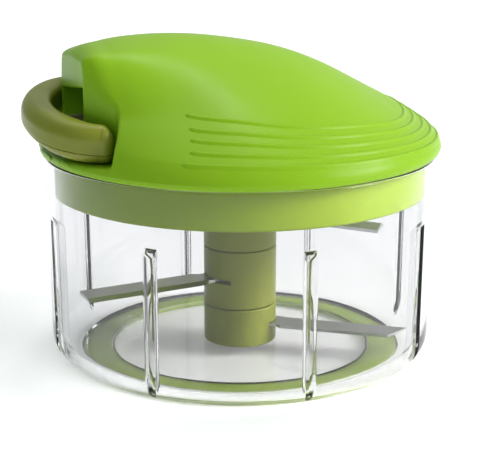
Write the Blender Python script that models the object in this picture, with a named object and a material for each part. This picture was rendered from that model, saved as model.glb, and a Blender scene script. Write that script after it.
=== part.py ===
"""Pull cord food chopper.

A clear bowl stands on a soft ring and carries a pin.  A tower with three
blades turns on the pin.  The lid holds a cord reel with a return spring and a
one-way clutch, whose shaft drives the tower.  The grip parks in a recess at
the back of the lid and pulls the cord out along -X.

The frame has +Z up.  The origin lies under the middle of the whole object, on
the surface that it stands on.  Every piece is drawn about the bowl's own axis
and hangs on one empty that stands there.
"""
import math

import bmesh
import bpy
from mathutils import Matrix, Vector

MM = 0.001

# Clearances and resolution
GAP = 0.3 * MM
RUNNING = 0.05 * MM
OVERRUN = 2.0 * MM
ROUND_STEPS = 40
SMALL_STEPS = 20
TINY_STEPS = 12
MIDDLE_STEPS = 32
WIDE_STEPS = 64
WELD = GAP / 1000
SHARP_ANGLE = math.radians(35.0)

# Bowl
BOWL_RADIUS = 63.5 * MM
BOWL_TAPER = 0.7 * MM
BOWL_FOOT_RADIUS = BOWL_RADIUS - BOWL_TAPER
BOWL_RIM_Z = 69.5 * MM
BOWL_WALL = 2.5 * MM
BOWL_FLOOR = 2.2 * MM
BOWL_CORNER = 8.0 * MM
BOWL_CORNER_STEPS = 5
RIB_COUNT = 8
RIB_ARC_STEPS = 4
RIB_WIDTH = 4.2 * MM
RIB_DEPTH = 2.3 * MM
RIB_TOP_Z = 51.5 * MM
RIB_FACET = 3.0 * MM
RIB_FIRST_ANGLE = math.radians(-135.35)
BOSS_RADIUS = 5.6 * MM
BOSS_HEIGHT = 1.8 * MM

# Soft base ring
RING_PROUD = 1.5 * MM
RING_DEPTH = 0.9 * MM
RING_INSET = 9.8 * MM
RING_WIDTH = 10.0 * MM
RING_OUTER = BOWL_FOOT_RADIUS - RING_INSET
RING_INNER = RING_OUTER - RING_WIDTH

# Pin, bush and blade tower
PIN_RADIUS = 2.5 * MM
PIN_SEAT = 1.4 * MM
PIN_TOP_Z = 16.0 * MM
PIN_CHAMFER = 0.8 * MM
BUSH_WALL = 1.7 * MM
BUSH_CAP = 1.6 * MM
TOWER_RADIUS = 12.1 * MM
TOWER_WALL = 2.9 * MM
TOWER_BOTTOM_Z = 4.3 * MM
TOWER_TOP_Z = 56.0 * MM
TOWER_FLANGE = 1.8 * MM
TOWER_SEAM_LOW_Z = 17.1 * MM
TOWER_SEAM_HIGH_Z = 36.9 * MM
SOCKET_DEPTH = 13.0 * MM

# Blades: each has a height, what its two edges leave clear inside the bowl and a direction
BLADE_THICKNESS = 1.0 * MM
BLADE_WIDTH = 10.6 * MM
BLADE_EDGE = 2.0 * MM
BLADE_NECK = 3.0 * MM
TANG_WIDTH = 8.0 * MM
TANG_ROOT = 6.4 * MM
BLADE_LOW_Z = 10.6 * MM
BLADE_LOW_EDGE_CLEAR = 7.5 * MM
BLADE_LOW_BACK_CLEAR = 12.5 * MM
BLADE_LOW_EDGE = BOWL_RADIUS - BLADE_LOW_EDGE_CLEAR
BLADE_LOW_BACK = BOWL_RADIUS - BLADE_LOW_BACK_CLEAR
BLADE_LOW_ANGLE = math.radians(-35.0)
BLADE_MIDDLE_Z = 26.5 * MM
BLADE_MIDDLE_EDGE_CLEAR = 8.0 * MM
BLADE_MIDDLE_BACK_CLEAR = 8.5 * MM
BLADE_MIDDLE_EDGE = BOWL_RADIUS - BLADE_MIDDLE_EDGE_CLEAR
BLADE_MIDDLE_BACK = BOWL_RADIUS - BLADE_MIDDLE_BACK_CLEAR
BLADE_MIDDLE_ANGLE = math.radians(-172.0)
BLADE_HIGH_Z = 48.5 * MM
BLADE_HIGH_EDGE_CLEAR = 15.0 * MM
BLADE_HIGH_BACK_CLEAR = 12.9 * MM
BLADE_HIGH_EDGE = BOWL_RADIUS - BLADE_HIGH_EDGE_CLEAR
BLADE_HIGH_BACK = BOWL_RADIUS - BLADE_HIGH_BACK_CLEAR
BLADE_HIGH_ANGLE = math.radians(-47.0)

# Lid cover: the cup that closes the lid from below
COVER_FIT = 0.4 * MM
COVER_RADIUS = BOWL_RADIUS - BOWL_WALL - COVER_FIT
COVER_WALL = 2.0 * MM
COVER_PLATE = 2.0 * MM
COVER_DEPTH = 12.3 * MM
COVER_BOTTOM_Z = BOWL_RIM_Z - COVER_DEPTH
COVER_BOSS_HEIGHT = 4.0 * MM
COVER_BOSS_WALL = 2.0 * MM

# Lid dome
LID_RIM_PROUD = 0.1 * MM
LID_SWELL = 1.8 * MM
LID_SHOULDER = 0.8 * MM
LID_RIM_RADIUS = BOWL_RADIUS + LID_RIM_PROUD
LID_WIDE_RADIUS = LID_RIM_RADIUS + LID_SWELL
LID_WIDE_LIFT = 2.3 * MM
LID_WIDE_Z = BOWL_RIM_Z + LID_WIDE_LIFT
LID_EDGE_RADIUS = LID_WIDE_RADIUS - LID_SHOULDER
LID_SHOULDER_HEIGHT = 3.2 * MM
DOME_RISE = 32.8 * MM
LID_EDGE_Z = LID_WIDE_Z + LID_SHOULDER_HEIGHT
LID_CROWN_Z = LID_EDGE_Z + DOME_RISE
LID_WALL = 2.2 * MM
LID_SPIGOT = 5.2 * MM
DOME_COLUMNS = 64
CAVITY_COLUMNS = 40
SEARCH_STEPS = 60
HALVINGS = 24
BACK_CROWDING_SHARE = 0.5
DOME_INNER_SHARES = (0.97, 0.94, 0.9, 0.78, 0.64, 0.48, 0.32, 0.16)
CAVITY_INNER_SHARES = (0.95, 0.85, 0.65, 0.42, 0.2)
CROWN_SHARES = [
    (-1.0, 0.0), (-0.93, 0.55), (-0.86, 0.87), (-0.71, 0.965), (-0.48, 1.0),
    (-0.28, 0.99), (-0.09, 0.945), (0.124, 0.865), (0.28, 0.775), (0.40, 0.68),
    (0.495, 0.59), (0.59, 0.49), (0.68, 0.395), (0.79, 0.28), (0.88, 0.175),
    (0.95, 0.085), (1.0, 0.0),
]
FALL_POWER = 1.35
FALL_BEND = 0.95
CREST_ROUNDING_SHARE = 0.07

# Raised spine at the back of the dome, above the cord's way out
SPINE_SHARES = [(-1.0, 0.215), (-0.72, 0.215), (-0.5, 0.13), (-0.22, 0.0), (1.0, 0.0)]
FLAT_TOP_SHARES = [(-1.0, 0.96), (-0.86, 0.95), (-0.8, 0.6), (-0.72, 0.25), (-0.5, 0.1), (-0.22, 0.0), (1.0, 0.0)]
SPINE_FLAT = 11.5 * MM
SPINE_FOOT = 16.0 * MM

# Grip ridges on the dome
RIDGE_COUNT = 5
RIDGE_LIFT = 1.7 * MM
RIDGE_FIRST_Z = LID_EDGE_Z + RIDGE_LIFT
RIDGE_PITCH = 2.5 * MM
RIDGE_HALF_WIDTH = 0.8 * MM
RIDGE_HEIGHT = 0.7 * MM
RIDGE_END_ANGLE = math.radians(128.0)
RIDGE_FADE_ANGLE = math.radians(8.0)

# Recess for the grip, set back from the edge of the dome
PILLAR_SETBACK = 9.0 * MM
RECESS_SETBACK = 16.0 * MM
RECESS_MOUTH_SETBACK = 8.6 * MM
LEDGE_DROP = 1.8 * MM
LEDGE_Z = LID_EDGE_Z - LEDGE_DROP
PILLAR_X = LID_EDGE_RADIUS - PILLAR_SETBACK
PILLAR_HALF_WIDTH = 13.4 * MM
RECESS_END_X = LID_EDGE_RADIUS - RECESS_SETBACK
RECESS_CORNER_Y = 23.5 * MM
RECESS_OUTER_Y = 29.6 * MM
RECESS_MOUTH_X = LID_EDGE_RADIUS - RECESS_MOUTH_SETBACK
SLOT_TOP_Z = 94.6 * MM
SLOT_SIDE_WALL = 1.6 * MM
SLOT_DEPTH = 7.4 * MM

# Grip
GRIP_HEIGHT = 10.7 * MM
GRIP_LOWER = 2.8 * MM
GRIP_ROLL = math.radians(8.3)
GRIP_SETBACK = 14.3 * MM
GRIP_PROUD = 5.8 * MM
GRIP_END_X = LID_EDGE_RADIUS - GRIP_SETBACK
GRIP_REACH = LID_WIDE_RADIUS + GRIP_PROUD
GRIP_HALF_SPAN = 28.8 * MM
GRIP_BAR = 9.6 * MM
GRIP_STEPS = 18
GRIP_TOP_ROUND = 2.7 * MM
GRIP_FOOT_ROUND = 2.0 * MM
GRIP_ROUND_STEPS = 3
GRIP_CORNER = 3.9 * MM
GRIP_CORNER_SHARE = 0.9
KNOT_RADIUS = 2.4 * MM
KNOT_LENGTH = 4.6 * MM
GRIP_SCREW_Y = 14.0 * MM
GRIP_SCREW_RADIUS = 1.2 * MM
GRIP_SCREW_HEAD = 2.2 * MM
GRIP_SCREW_HEAD_HEIGHT = 1.4 * MM
GRIP_SCREW_LENGTH = 6.0 * MM

# Cord and reel
CORD_RADIUS = 1.1 * MM
CORD_Z = 82.9 * MM
CORD_STEPS = 7
REEL_FLANGE = 1.5 * MM
REEL_RADIUS = 28.0 * MM
DRUM_RADIUS = 20.0 * MM
CORD_LAYER = 3.2 * MM
DRUM_HEIGHT = 6.6 * MM
REEL_NECK_RADIUS = 5.6 * MM
REEL_NECK_HEIGHT = 5.4 * MM
REEL_BUSH_WALL = 1.3 * MM

# Return spring and its housing
SPRING_TURNS = 5
SPRING_STEPS = 16
SPRING_BAND = 0.4 * MM
SPRING_HEIGHT = 4.0 * MM
SPRING_INNER = 6.3 * MM
HOUSING_RADIUS = 17.4 * MM
HOUSING_WALL = 1.2 * MM
SPRING_CLEAR = 0.8 * MM
SPRING_OUTER = HOUSING_RADIUS - HOUSING_WALL - SPRING_CLEAR
HOUSING_HEIGHT = 6.2 * MM
HOUSING_LIFT = 1.9 * MM
EAR_RADIUS = 3.4 * MM
EAR_COUNT = 3
EAR_FIRST_ANGLE = math.radians(60.0)
EAR_SCREW_RADIUS = 1.1 * MM
EAR_SCREW_HEAD = 2.3 * MM
EAR_SCREW_HEAD_HEIGHT = 1.1 * MM
EAR_SCREW_LENGTH = 4.0 * MM

# Axle, drive shaft and clutch
AXLE_RADIUS = 2.0 * MM
AXLE_SEAT = 3.4 * MM
AXLE_BOSS_RADIUS = 5.2 * MM
SHAFT_RADIUS = 5.0 * MM
SHAFT_DROP = 1.0 * MM
SHAFT_BORE_DEPTH = 9.0 * MM
HEX_FLATS = 8.4 * MM
HEX_TIP_Z = 44.6 * MM
SHAFT_BUSH_WALL = 1.6 * MM
BUSH_FLANGE = 1.2 * MM
WHEEL_RADIUS = 12.6 * MM
WHEEL_TOOTH = 2.2 * MM
WHEEL_TEETH = 12
WHEEL_DROP = 4.8 * MM
WHEEL_THICKNESS = 3.6 * MM
CLIP_WIDTH = 2.2 * MM
CLIP_THICKNESS = 0.8 * MM
CLIP_GAP_ANGLE = math.radians(70.0)
PAWL_COUNT = 2
PAWL_PIVOT_RADIUS = 20.0 * MM
PAWL_WIDTH = 5.0 * MM
PAWL_THICKNESS = 3.0 * MM
PAWL_ROUND_STEPS = 8
PAWL_TIP_ANGLE = math.radians(52.0)
PAWL_TIP_LOW = 11.0 * MM
PAWL_TIP_HIGH = 12.5 * MM
PAWL_ELBOW_ANGLE = math.radians(26.0)
PAWL_ELBOW_LOW = 13.3 * MM
PAWL_ELBOW_HIGH = 16.5 * MM
PAWL_PIN_RADIUS = 1.2 * MM

# Screws that hold the cover to the dome
COVER_SCREW_COUNT = 4
COVER_SCREW_INSET = 13.6 * MM
COVER_SCREW_CENTRE = COVER_RADIUS - COVER_SCREW_INSET
COVER_SCREW_FIRST = math.radians(45.0)
COVER_SCREW_RADIUS = 1.4 * MM
COVER_SCREW_HEAD = 2.8 * MM
COVER_SCREW_HEAD_HEIGHT = 1.5 * MM
COVER_SCREW_LENGTH = 12.0 * MM
COVER_POST_RADIUS = 4.0 * MM

# Cord guide in the recess wall
GUIDE_FLANGE_RADIUS = 3.6 * MM
GUIDE_FLANGE = 0.9 * MM
GUIDE_TUBE_WALL = 0.9 * MM

# Worked out from the sizes above
FLOOR_Z = RING_PROUD
FLOOR_TOP_Z = RING_PROUD + BOWL_FLOOR
BOWL_INNER_RADIUS = BOWL_RADIUS - BOWL_WALL
DOME_BOTTOM_Z = BOWL_RIM_Z + GAP
AXIS_X = (GRIP_REACH - LID_WIDE_RADIUS) / 2
SLOT_BACK_X = PILLAR_X - SLOT_DEPTH
WIND_RADIUS = DRUM_RADIUS + CORD_LAYER + GAP + CORD_RADIUS
CORE_RADIUS = TOWER_RADIUS - TOWER_WALL - GAP
REEL_BOTTOM_Z = CORD_Z - DRUM_HEIGHT / 2 - REEL_FLANGE
REEL_TOP_Z = CORD_Z + DRUM_HEIGHT / 2 + REEL_FLANGE
HOUSING_BOTTOM_Z = REEL_TOP_Z + HOUSING_LIFT
HOUSING_TOP_Z = HOUSING_BOTTOM_Z + HOUSING_HEIGHT
SHAFT_TOP_Z = REEL_BOTTOM_Z - SHAFT_DROP
WHEEL_BOTTOM_Z = REEL_BOTTOM_Z - WHEEL_DROP
AXLE_BOTTOM_Z = SHAFT_TOP_Z - SHAFT_BORE_DEPTH + GAP
GRIP_TOP = GRIP_HEIGHT / 2
GRIP_BOTTOM = -GRIP_HEIGHT / 2
GRIP_PART = GRIP_LOWER - GRIP_HEIGHT / 2
REEL_BORE = AXLE_RADIUS + RUNNING + REEL_BUSH_WALL + GAP
SHAFT_BUSH_OUTER = SHAFT_RADIUS + RUNNING + SHAFT_BUSH_WALL
COVER_PLATE_TOP_Z = COVER_BOTTOM_Z + COVER_PLATE
EAR_CENTRE = HOUSING_RADIUS + EAR_RADIUS + GAP

GREEN = (0.36, 0.62, 0.05)
LIGHT_GREEN = (0.45, 0.62, 0.14)
OLIVE = (0.23, 0.24, 0.06)
STEEL = (0.62, 0.62, 0.60)
WHITE = (0.82, 0.82, 0.78)


def clear_scene():
    for item in list(bpy.data.objects):
        bpy.data.objects.remove(item, do_unlink=True)


def make_material(name, colour, roughness, metallic=0.0, transmission=0.0):
    made = bpy.data.materials.new(name)
    made.use_nodes = True
    shader = made.node_tree.nodes["Principled BSDF"]
    shader.inputs["Base Color"].default_value = (*colour, 1.0)
    shader.inputs["Roughness"].default_value = roughness
    shader.inputs["Metallic"].default_value = metallic
    shader.inputs["Transmission Weight"].default_value = transmission
    made.diffuse_color = (*colour, 1.0)
    return made


def add_object(name, mesh, parent, finish=None):
    """Put a mesh on an object under a parent; finish is colour, roughness, metal."""
    made = bpy.data.objects.new(name, mesh)
    bpy.context.scene.collection.objects.link(made)
    made.parent = parent
    if finish:
        mesh.materials.append(make_material(name, *finish))
        mesh.shade_smooth()
        mesh.set_sharp_from_angle(angle=SHARP_ANGLE)
    return made


def add_empty(name, location, parent=None):
    made = bpy.data.objects.new(name, None)
    bpy.context.scene.collection.objects.link(made)
    made.parent = parent
    made.location = location
    return made


def finish_mesh(name, shape):
    """Turn a bmesh into a mesh with its faces pointing out."""
    bmesh.ops.remove_doubles(shape, verts=shape.verts, dist=WELD)
    bmesh.ops.recalc_face_normals(shape, faces=shape.faces)
    mesh = bpy.data.meshes.new(name)
    shape.to_mesh(mesh)
    shape.free()
    return mesh


def ring_faces(shape, rings, closed):
    """Join rings of as many vertices each, and the last to the first if closed."""
    pairs = list(zip(rings, rings[1:]))
    if closed:
        pairs.append((rings[-1], rings[0]))
    for low, high in pairs:
        count = max(len(low), len(high))
        for i in range(count):
            j = (i + 1) % count
            if len(low) == 1:
                shape.faces.new((low[0], high[j], high[i]))
            elif len(high) == 1:
                shape.faces.new((low[i], low[j], high[0]))
            else:
                shape.faces.new((low[i], low[j], high[j], high[i]))


def turned(name, profile, steps=ROUND_STEPS):
    """Turn a profile of (radius, z) about Z; one that leaves the axis is closed."""
    shape = bmesh.new()
    rings = []
    for radius, z in profile:
        if radius == 0:
            rings.append([shape.verts.new((0, 0, z))])
            continue
        turn = 2 * math.pi / steps
        rings.append([
            shape.verts.new((radius * math.cos(turn * i), radius * math.sin(turn * i), z))
            for i in range(steps)
        ])
    ring_faces(shape, rings, closed=profile[0][0] > 0)
    return finish_mesh(name, shape)


def tube_profile(inner, outer, bottom, top):
    return [(outer, top), (outer, bottom), (inner, bottom), (inner, top)]


def rod_profile(radius, bottom, top):
    return [(0, top), (radius, top), (radius, bottom), (0, bottom)]


def prism_shape(outline, bottom, top):
    shape = bmesh.new()
    low = [shape.verts.new((x, y, bottom)) for x, y in outline]
    high = [shape.verts.new((x, y, top)) for x, y in outline]
    shape.faces.new(low[::-1])
    shape.faces.new(high)
    for i in range(len(outline)):
        j = (i + 1) % len(outline)
        shape.faces.new((low[i], low[j], high[j], high[i]))
    return shape


def prism(name, outline, bottom, top):
    return finish_mesh(name, prism_shape(outline, bottom, top))


def box_outline(x_low, x_high, y_low, y_high):
    return [(x_low, y_low), (x_high, y_low), (x_high, y_high), (x_low, y_high)]


def hexagon(flats):
    reach = flats / math.sqrt(3)
    return [(reach * math.cos(math.pi * i / 3), reach * math.sin(math.pi * i / 3)) for i in range(6)]


def circle_point(radius, angle):
    return radius * math.cos(angle), radius * math.sin(angle)


def join_meshes(name, placed):
    """Copy meshes, each under its own matrix, into one mesh of separate solids."""
    shape = bmesh.new()
    for mesh, matrix in placed:
        part = bmesh.new()
        part.from_mesh(mesh)
        bmesh.ops.transform(part, matrix=matrix, verts=part.verts)
        held = bpy.data.meshes.new(name + "_piece")
        part.to_mesh(held)
        part.free()
        shape.from_mesh(held)
        bpy.data.meshes.remove(held)
    mesh = bpy.data.meshes.new(name)
    shape.to_mesh(mesh)
    shape.free()
    return mesh


def add_ring(name, profile, centre, angles, parent, finish):
    """Equal turned pieces, upright on a circle, each its own object."""
    mesh = turned(name, profile, TINY_STEPS)
    mesh.materials.append(make_material(name, *finish))
    mesh.shade_smooth()
    mesh.set_sharp_from_angle(angle=SHARP_ANGLE)
    for i, angle in enumerate(angles):
        made = add_object(name + "_" + str(i + 1), mesh, parent)
        made.location = (*circle_point(centre, angle), 0)


def cutter(name, mesh, parent):
    made = add_object(name, mesh, parent)
    made.hide_render = True
    made.display_type = "WIRE"
    return made


def cut(target, tool, operation="DIFFERENCE"):
    step = target.modifiers.new(tool.name, "BOOLEAN")
    step.operation = operation
    step.solver = "EXACT"
    step.object = tool


# Bowl, base ring and pin

def rib_amount(angle, z):
    """How far, from 0 to 1, the wall steps in at a rib."""
    pitch = 2 * math.pi / RIB_COUNT
    off = (angle - RIB_FIRST_ANGLE + pitch / 2) % pitch - pitch / 2
    across = abs(off) * BOWL_RADIUS / (RIB_WIDTH / 2)
    side = min(1.0, max(0.0, (1 - across) * 2))
    top = min(1.0, max(0.0, (RIB_TOP_Z - z) / RIB_FACET))
    low = min(1.0, max(0.0, (z - FLOOR_TOP_Z) / BOWL_CORNER))
    return side * top * low


def bowl_angles():
    pitch = 2 * math.pi / RIB_COUNT
    half = RIB_WIDTH / 2 / BOWL_RADIUS
    angles = []
    for rib in range(RIB_COUNT):
        middle = RIB_FIRST_ANGLE + rib * pitch
        angles += [middle - half, middle - half / 2, middle, middle + half / 2, middle + half]
        span = pitch - 2 * half
        angles += [middle + half + span * i / RIB_ARC_STEPS for i in range(1, RIB_ARC_STEPS)]
    return angles


def bowl_wall_radius(z):
    share = (z - FLOOR_Z) / (BOWL_RIM_Z - FLOOR_Z)
    return BOWL_FOOT_RADIUS + (BOWL_RADIUS - BOWL_FOOT_RADIUS) * share


def bowl_corner(radius, floor, inset):
    """The rounded foot of the bowl, from the wall down to the floor."""
    points = []
    for i in range(BOWL_CORNER_STEPS + 1):
        angle = math.pi / 2 * i / BOWL_CORNER_STEPS
        z = floor + radius - radius * math.sin(angle)
        points.append((bowl_wall_radius(z) - inset - radius + radius * math.cos(angle), z))
    return points


def make_bowl(parent):
    outer_corner = bowl_corner(BOWL_CORNER, FLOOR_Z, 0)
    inner_corner = bowl_corner(BOWL_CORNER - BOWL_WALL, FLOOR_TOP_Z, BOWL_WALL)
    rib_levels = [RIB_TOP_Z, RIB_TOP_Z - RIB_FACET]
    groove = [(RING_OUTER + GAP, FLOOR_Z), (RING_OUTER + GAP, FLOOR_Z + RING_DEPTH + GAP)]
    groove += [(RING_INNER - GAP, FLOOR_Z + RING_DEPTH + GAP), (RING_INNER - GAP, FLOOR_Z)]
    outside = [(BOWL_RADIUS, BOWL_RIM_Z)]
    outside += [(bowl_wall_radius(z), z) for z in rib_levels]
    outside += outer_corner + groove + [(0, FLOOR_Z)]
    pin_hole = PIN_RADIUS + GAP
    inside = [(0, FLOOR_TOP_Z - PIN_SEAT), (pin_hole, FLOOR_TOP_Z - PIN_SEAT)]
    inside += [(pin_hole, FLOOR_TOP_Z + BOSS_HEIGHT), (BOSS_RADIUS, FLOOR_TOP_Z + BOSS_HEIGHT)]
    inside += [(BOSS_RADIUS, FLOOR_TOP_Z)] + inner_corner[::-1]
    inside += [(bowl_wall_radius(z) - BOWL_WALL, z) for z in rib_levels[::-1]]
    inside += [(BOWL_INNER_RADIUS, BOWL_RIM_Z)]
    shape = bmesh.new()
    rings = []
    wall_limit = BOWL_FOOT_RADIUS - BOWL_CORNER
    for radius, z in outside + inside:
        if radius == 0:
            rings.append([shape.verts.new((0, 0, z))])
            continue
        ring = []
        for angle in bowl_angles():
            step = RIB_DEPTH * rib_amount(angle, z) if radius > wall_limit else 0
            ring.append(shape.verts.new((*circle_point(radius - step, angle), z)))
        rings.append(ring)
    floor_split = len(outside)
    ring_faces(shape, rings[:floor_split], closed=False)
    ring_faces(shape, rings[floor_split:], closed=False)
    ring_faces(shape, [rings[-1], rings[0]], closed=False)
    return add_object("bowl", finish_mesh("bowl", shape), parent, (WHITE, 0.05, 0.0, 1.0))


def make_base(parent):
    ring = tube_profile(RING_INNER, RING_OUTER, 0, FLOOR_Z + RING_DEPTH)
    add_object("base_ring", turned("base_ring", ring), parent, (LIGHT_GREEN, 0.7))
    bottom = FLOOR_TOP_Z - PIN_SEAT + GAP
    pin = [(0, PIN_TOP_Z), (PIN_RADIUS - PIN_CHAMFER, PIN_TOP_Z)]
    pin += [(PIN_RADIUS, PIN_TOP_Z - PIN_CHAMFER), (PIN_RADIUS, bottom), (0, bottom)]
    add_object("pivot_pin", turned("pivot_pin", pin, SMALL_STEPS), parent, (STEEL, 0.3, 1.0))


# Blade tower

def blade_mesh(name, height, edge_reach, back_reach):
    """A flat blade along +X with one ground edge, on its +Y side."""
    half = BLADE_WIDTH / 2
    neck = TOWER_RADIUS + BLADE_NECK
    tang = [(TANG_ROOT, TANG_WIDTH / 2), (TANG_ROOT, -TANG_WIDTH / 2)]
    back = [(neck - BLADE_NECK / 2, -TANG_WIDTH / 2), (neck, -half)]
    tip = [(back_reach, -half), (edge_reach, half)]
    front = [(neck, half), (neck - BLADE_NECK / 2, TANG_WIDTH / 2)]
    outline = tang + back + tip + front
    shape = prism_shape(outline, height - BLADE_THICKNESS / 2, height + BLADE_THICKNESS / 2)
    for vert in shape.verts:
        if vert.co.y > half - GAP and vert.co.z > height:
            vert.co.y -= BLADE_EDGE
    return finish_mesh(name, shape)


def make_tower(parent):
    bush_bottom = FLOOR_TOP_Z + BOSS_HEIGHT + GAP
    bush_inner = PIN_RADIUS + RUNNING
    bush_outer = bush_inner + BUSH_WALL
    bush_top = PIN_TOP_Z + GAP + BUSH_CAP
    bush = [(0, bush_top), (bush_outer, bush_top), (bush_outer, bush_bottom)]
    bush += [(bush_inner, bush_bottom), (bush_inner, PIN_TOP_Z + GAP), (0, PIN_TOP_Z + GAP)]
    add_object("pivot_bush", turned("pivot_bush", bush, SMALL_STEPS), parent, (WHITE, 0.4))

    core_bottom = TOWER_BOTTOM_Z + TOWER_FLANGE + GAP
    bore = bush_outer + GAP
    core = [(0, TOWER_TOP_Z), (CORE_RADIUS, TOWER_TOP_Z), (CORE_RADIUS, core_bottom)]
    core += [(bore, core_bottom), (bore, bush_top + GAP), (0, bush_top + GAP)]
    core_object = add_object("tower_core", turned("tower_core", core, MIDDLE_STEPS), parent, (OLIVE, 0.5))
    socket = prism("socket_cutter", hexagon(HEX_FLATS + 2 * GAP), TOWER_TOP_Z - SOCKET_DEPTH,
                   TOWER_TOP_Z + OVERRUN)
    cut(core_object, cutter("socket_cutter", socket, parent))

    hub_inner = TOWER_RADIUS - TOWER_WALL
    flange_inner = BOSS_RADIUS + GAP
    low = [(TOWER_RADIUS, TOWER_SEAM_LOW_Z), (TOWER_RADIUS, TOWER_BOTTOM_Z)]
    low += [(flange_inner, TOWER_BOTTOM_Z), (flange_inner, TOWER_BOTTOM_Z + TOWER_FLANGE)]
    low += [(hub_inner, TOWER_BOTTOM_Z + TOWER_FLANGE), (hub_inner, TOWER_SEAM_LOW_Z)]
    middle = tube_profile(hub_inner, TOWER_RADIUS, TOWER_SEAM_LOW_Z + GAP, TOWER_SEAM_HIGH_Z)
    high = tube_profile(hub_inner, TOWER_RADIUS, TOWER_SEAM_HIGH_Z + GAP, TOWER_TOP_Z)
    stages = [
        ("low", low, BLADE_LOW_Z, BLADE_LOW_ANGLE, BLADE_LOW_EDGE, BLADE_LOW_BACK),
        ("middle", middle, BLADE_MIDDLE_Z, BLADE_MIDDLE_ANGLE, BLADE_MIDDLE_EDGE, BLADE_MIDDLE_BACK),
        ("high", high, BLADE_HIGH_Z, BLADE_HIGH_ANGLE, BLADE_HIGH_EDGE, BLADE_HIGH_BACK),
    ]
    for label, profile, height, angle, edge, back in stages:
        hub = add_object("hub_" + label, turned("hub_" + label, profile), parent, (OLIVE, 0.45))
        blade = add_object("blade_" + label, blade_mesh("blade_" + label, height, edge, back), parent,
                           (STEEL, 0.25, 1.0))
        blade.rotation_euler.z = angle
        half = TANG_WIDTH / 2 + GAP
        slot = prism("slot_" + label, box_outline(TANG_ROOT - GAP, TOWER_RADIUS + OVERRUN, -half, half),
                     height - BLADE_THICKNESS / 2 - GAP, height + BLADE_THICKNESS / 2 + GAP)
        tool = cutter("slot_" + label, slot, parent)
        tool.rotation_euler.z = angle
        cut(hub, tool)
        cut(core_object, tool)


# Lid dome

def smooth_step(share):
    share = min(1.0, max(0.0, share))
    return share * share * (3 - 2 * share)


def table_value(table, x):
    """Read a smooth curve through a table of (x, value) points."""
    x = min(table[-1][0], max(table[0][0], x))
    i = 0
    while i < len(table) - 2 and x > table[i + 1][0]:
        i += 1
    slopes = []
    for k in (i, i + 1):
        before = table[max(k - 1, 0)]
        after = table[min(k + 1, len(table) - 1)]
        slopes.append((after[1] - before[1]) / (after[0] - before[0]))
    (x0, v0), (x1, v1) = table[i], table[i + 1]
    width = x1 - x0
    t = (x - x0) / width
    start = v0 * (1 + 2 * t) * (1 - t) ** 2 + slopes[0] * width * t * (1 - t) ** 2
    return start + v1 * t * t * (3 - 2 * t) + slopes[1] * width * t * t * (t - 1)


def dome_share(x_share, y_share):
    """Height of the dome over its edge, as a share of the crown's height."""
    width = math.sqrt(max(0.0, 1 - x_share * x_share))
    if width == 0 or x_share * x_share + y_share * y_share >= 1:
        return 0.0
    side = abs(y_share) / width
    rounding = CREST_ROUNDING_SHARE
    side = (math.hypot(side, rounding) - rounding) / (math.hypot(1, rounding) - rounding)
    fall = max(0.0, 1 - side ** FALL_POWER) ** FALL_BEND
    crown = table_value(CROWN_SHARES, x_share)
    spine = min(crown, table_value(SPINE_SHARES, x_share))
    off = abs(y_share) * LID_EDGE_RADIUS
    across = smooth_step((SPINE_FOOT - off) / (SPINE_FOOT - SPINE_FLAT))
    side_height = (crown - spine) * fall + spine * across
    return side_height + (crown - side_height) * across * table_value(FLAT_TOP_SHARES, x_share)


def share_radius(angle, level):
    """Radius share, out from the middle, at which the dome comes down to a level."""
    low, high = 0.0, 1.0
    along, across = math.cos(angle), math.sin(angle)
    for i in range(SEARCH_STEPS, 0, -1):
        if dome_share(along * i / SEARCH_STEPS, across * i / SEARCH_STEPS) > level:
            low, high = i / SEARCH_STEPS, (i + 1) / SEARCH_STEPS
            break
    for _ in range(HALVINGS):
        middle = (low + high) / 2
        if dome_share(along * middle, across * middle) > level:
            low = middle
        else:
            high = middle
    return (low + high) / 2


def ridge_strength(angle):
    off = abs((angle + math.pi) % (2 * math.pi) - math.pi)
    return smooth_step((RIDGE_END_ANGLE - off) / RIDGE_FADE_ANGLE)


def dome_rings(shape, columns, inset, ridged):
    """Rings of vertices from the rim up to the crown, drawn in by an inset."""
    edge = LID_EDGE_RADIUS - inset
    crown = LID_CROWN_Z - LID_EDGE_Z
    even = [2 * math.pi * (i + 1 / 2) / columns for i in range(columns)]
    angles = [angle + BACK_CROWDING_SHARE * math.sin(angle) for angle in even]
    rows = []
    if ridged:
        for k in range(RIDGE_COUNT):
            centre = RIDGE_FIRST_Z + k * RIDGE_PITCH - LID_EDGE_Z
            for part in (-1, 0, 1):
                level = (centre + part * RIDGE_HALF_WIDTH) / crown
                rows.append((level, RIDGE_HEIGHT if part == 0 else 0))
        top_level = rows[-1][0]
    else:
        top_level = (RIDGE_FIRST_Z - LID_EDGE_Z) / crown
        rows.append((top_level, 0))
    rings = []
    for level, lift in rows:
        ring = []
        for angle in angles:
            share = share_radius(angle, level)
            raised = lift * ridge_strength(angle)
            radius = edge * share + raised / 2
            z = LID_EDGE_Z - inset + crown * level + raised
            ring.append(shape.verts.new((*circle_point(radius, angle), z)))
        rings.append(ring)
    limits = [share_radius(angle, top_level) for angle in angles]
    for inner in DOME_INNER_SHARES if ridged else CAVITY_INNER_SHARES:
        ring = []
        for angle, limit in zip(angles, limits):
            x, y = circle_point(limit * inner, angle)
            z = LID_EDGE_Z - inset + crown * dome_share(x, y)
            ring.append(shape.verts.new((x * edge, y * edge, z)))
        rings.append(ring)
    top = shape.verts.new((0, 0, LID_EDGE_Z - inset + crown * dome_share(0, 0)))
    rings.append([top])
    return rings, angles


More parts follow.
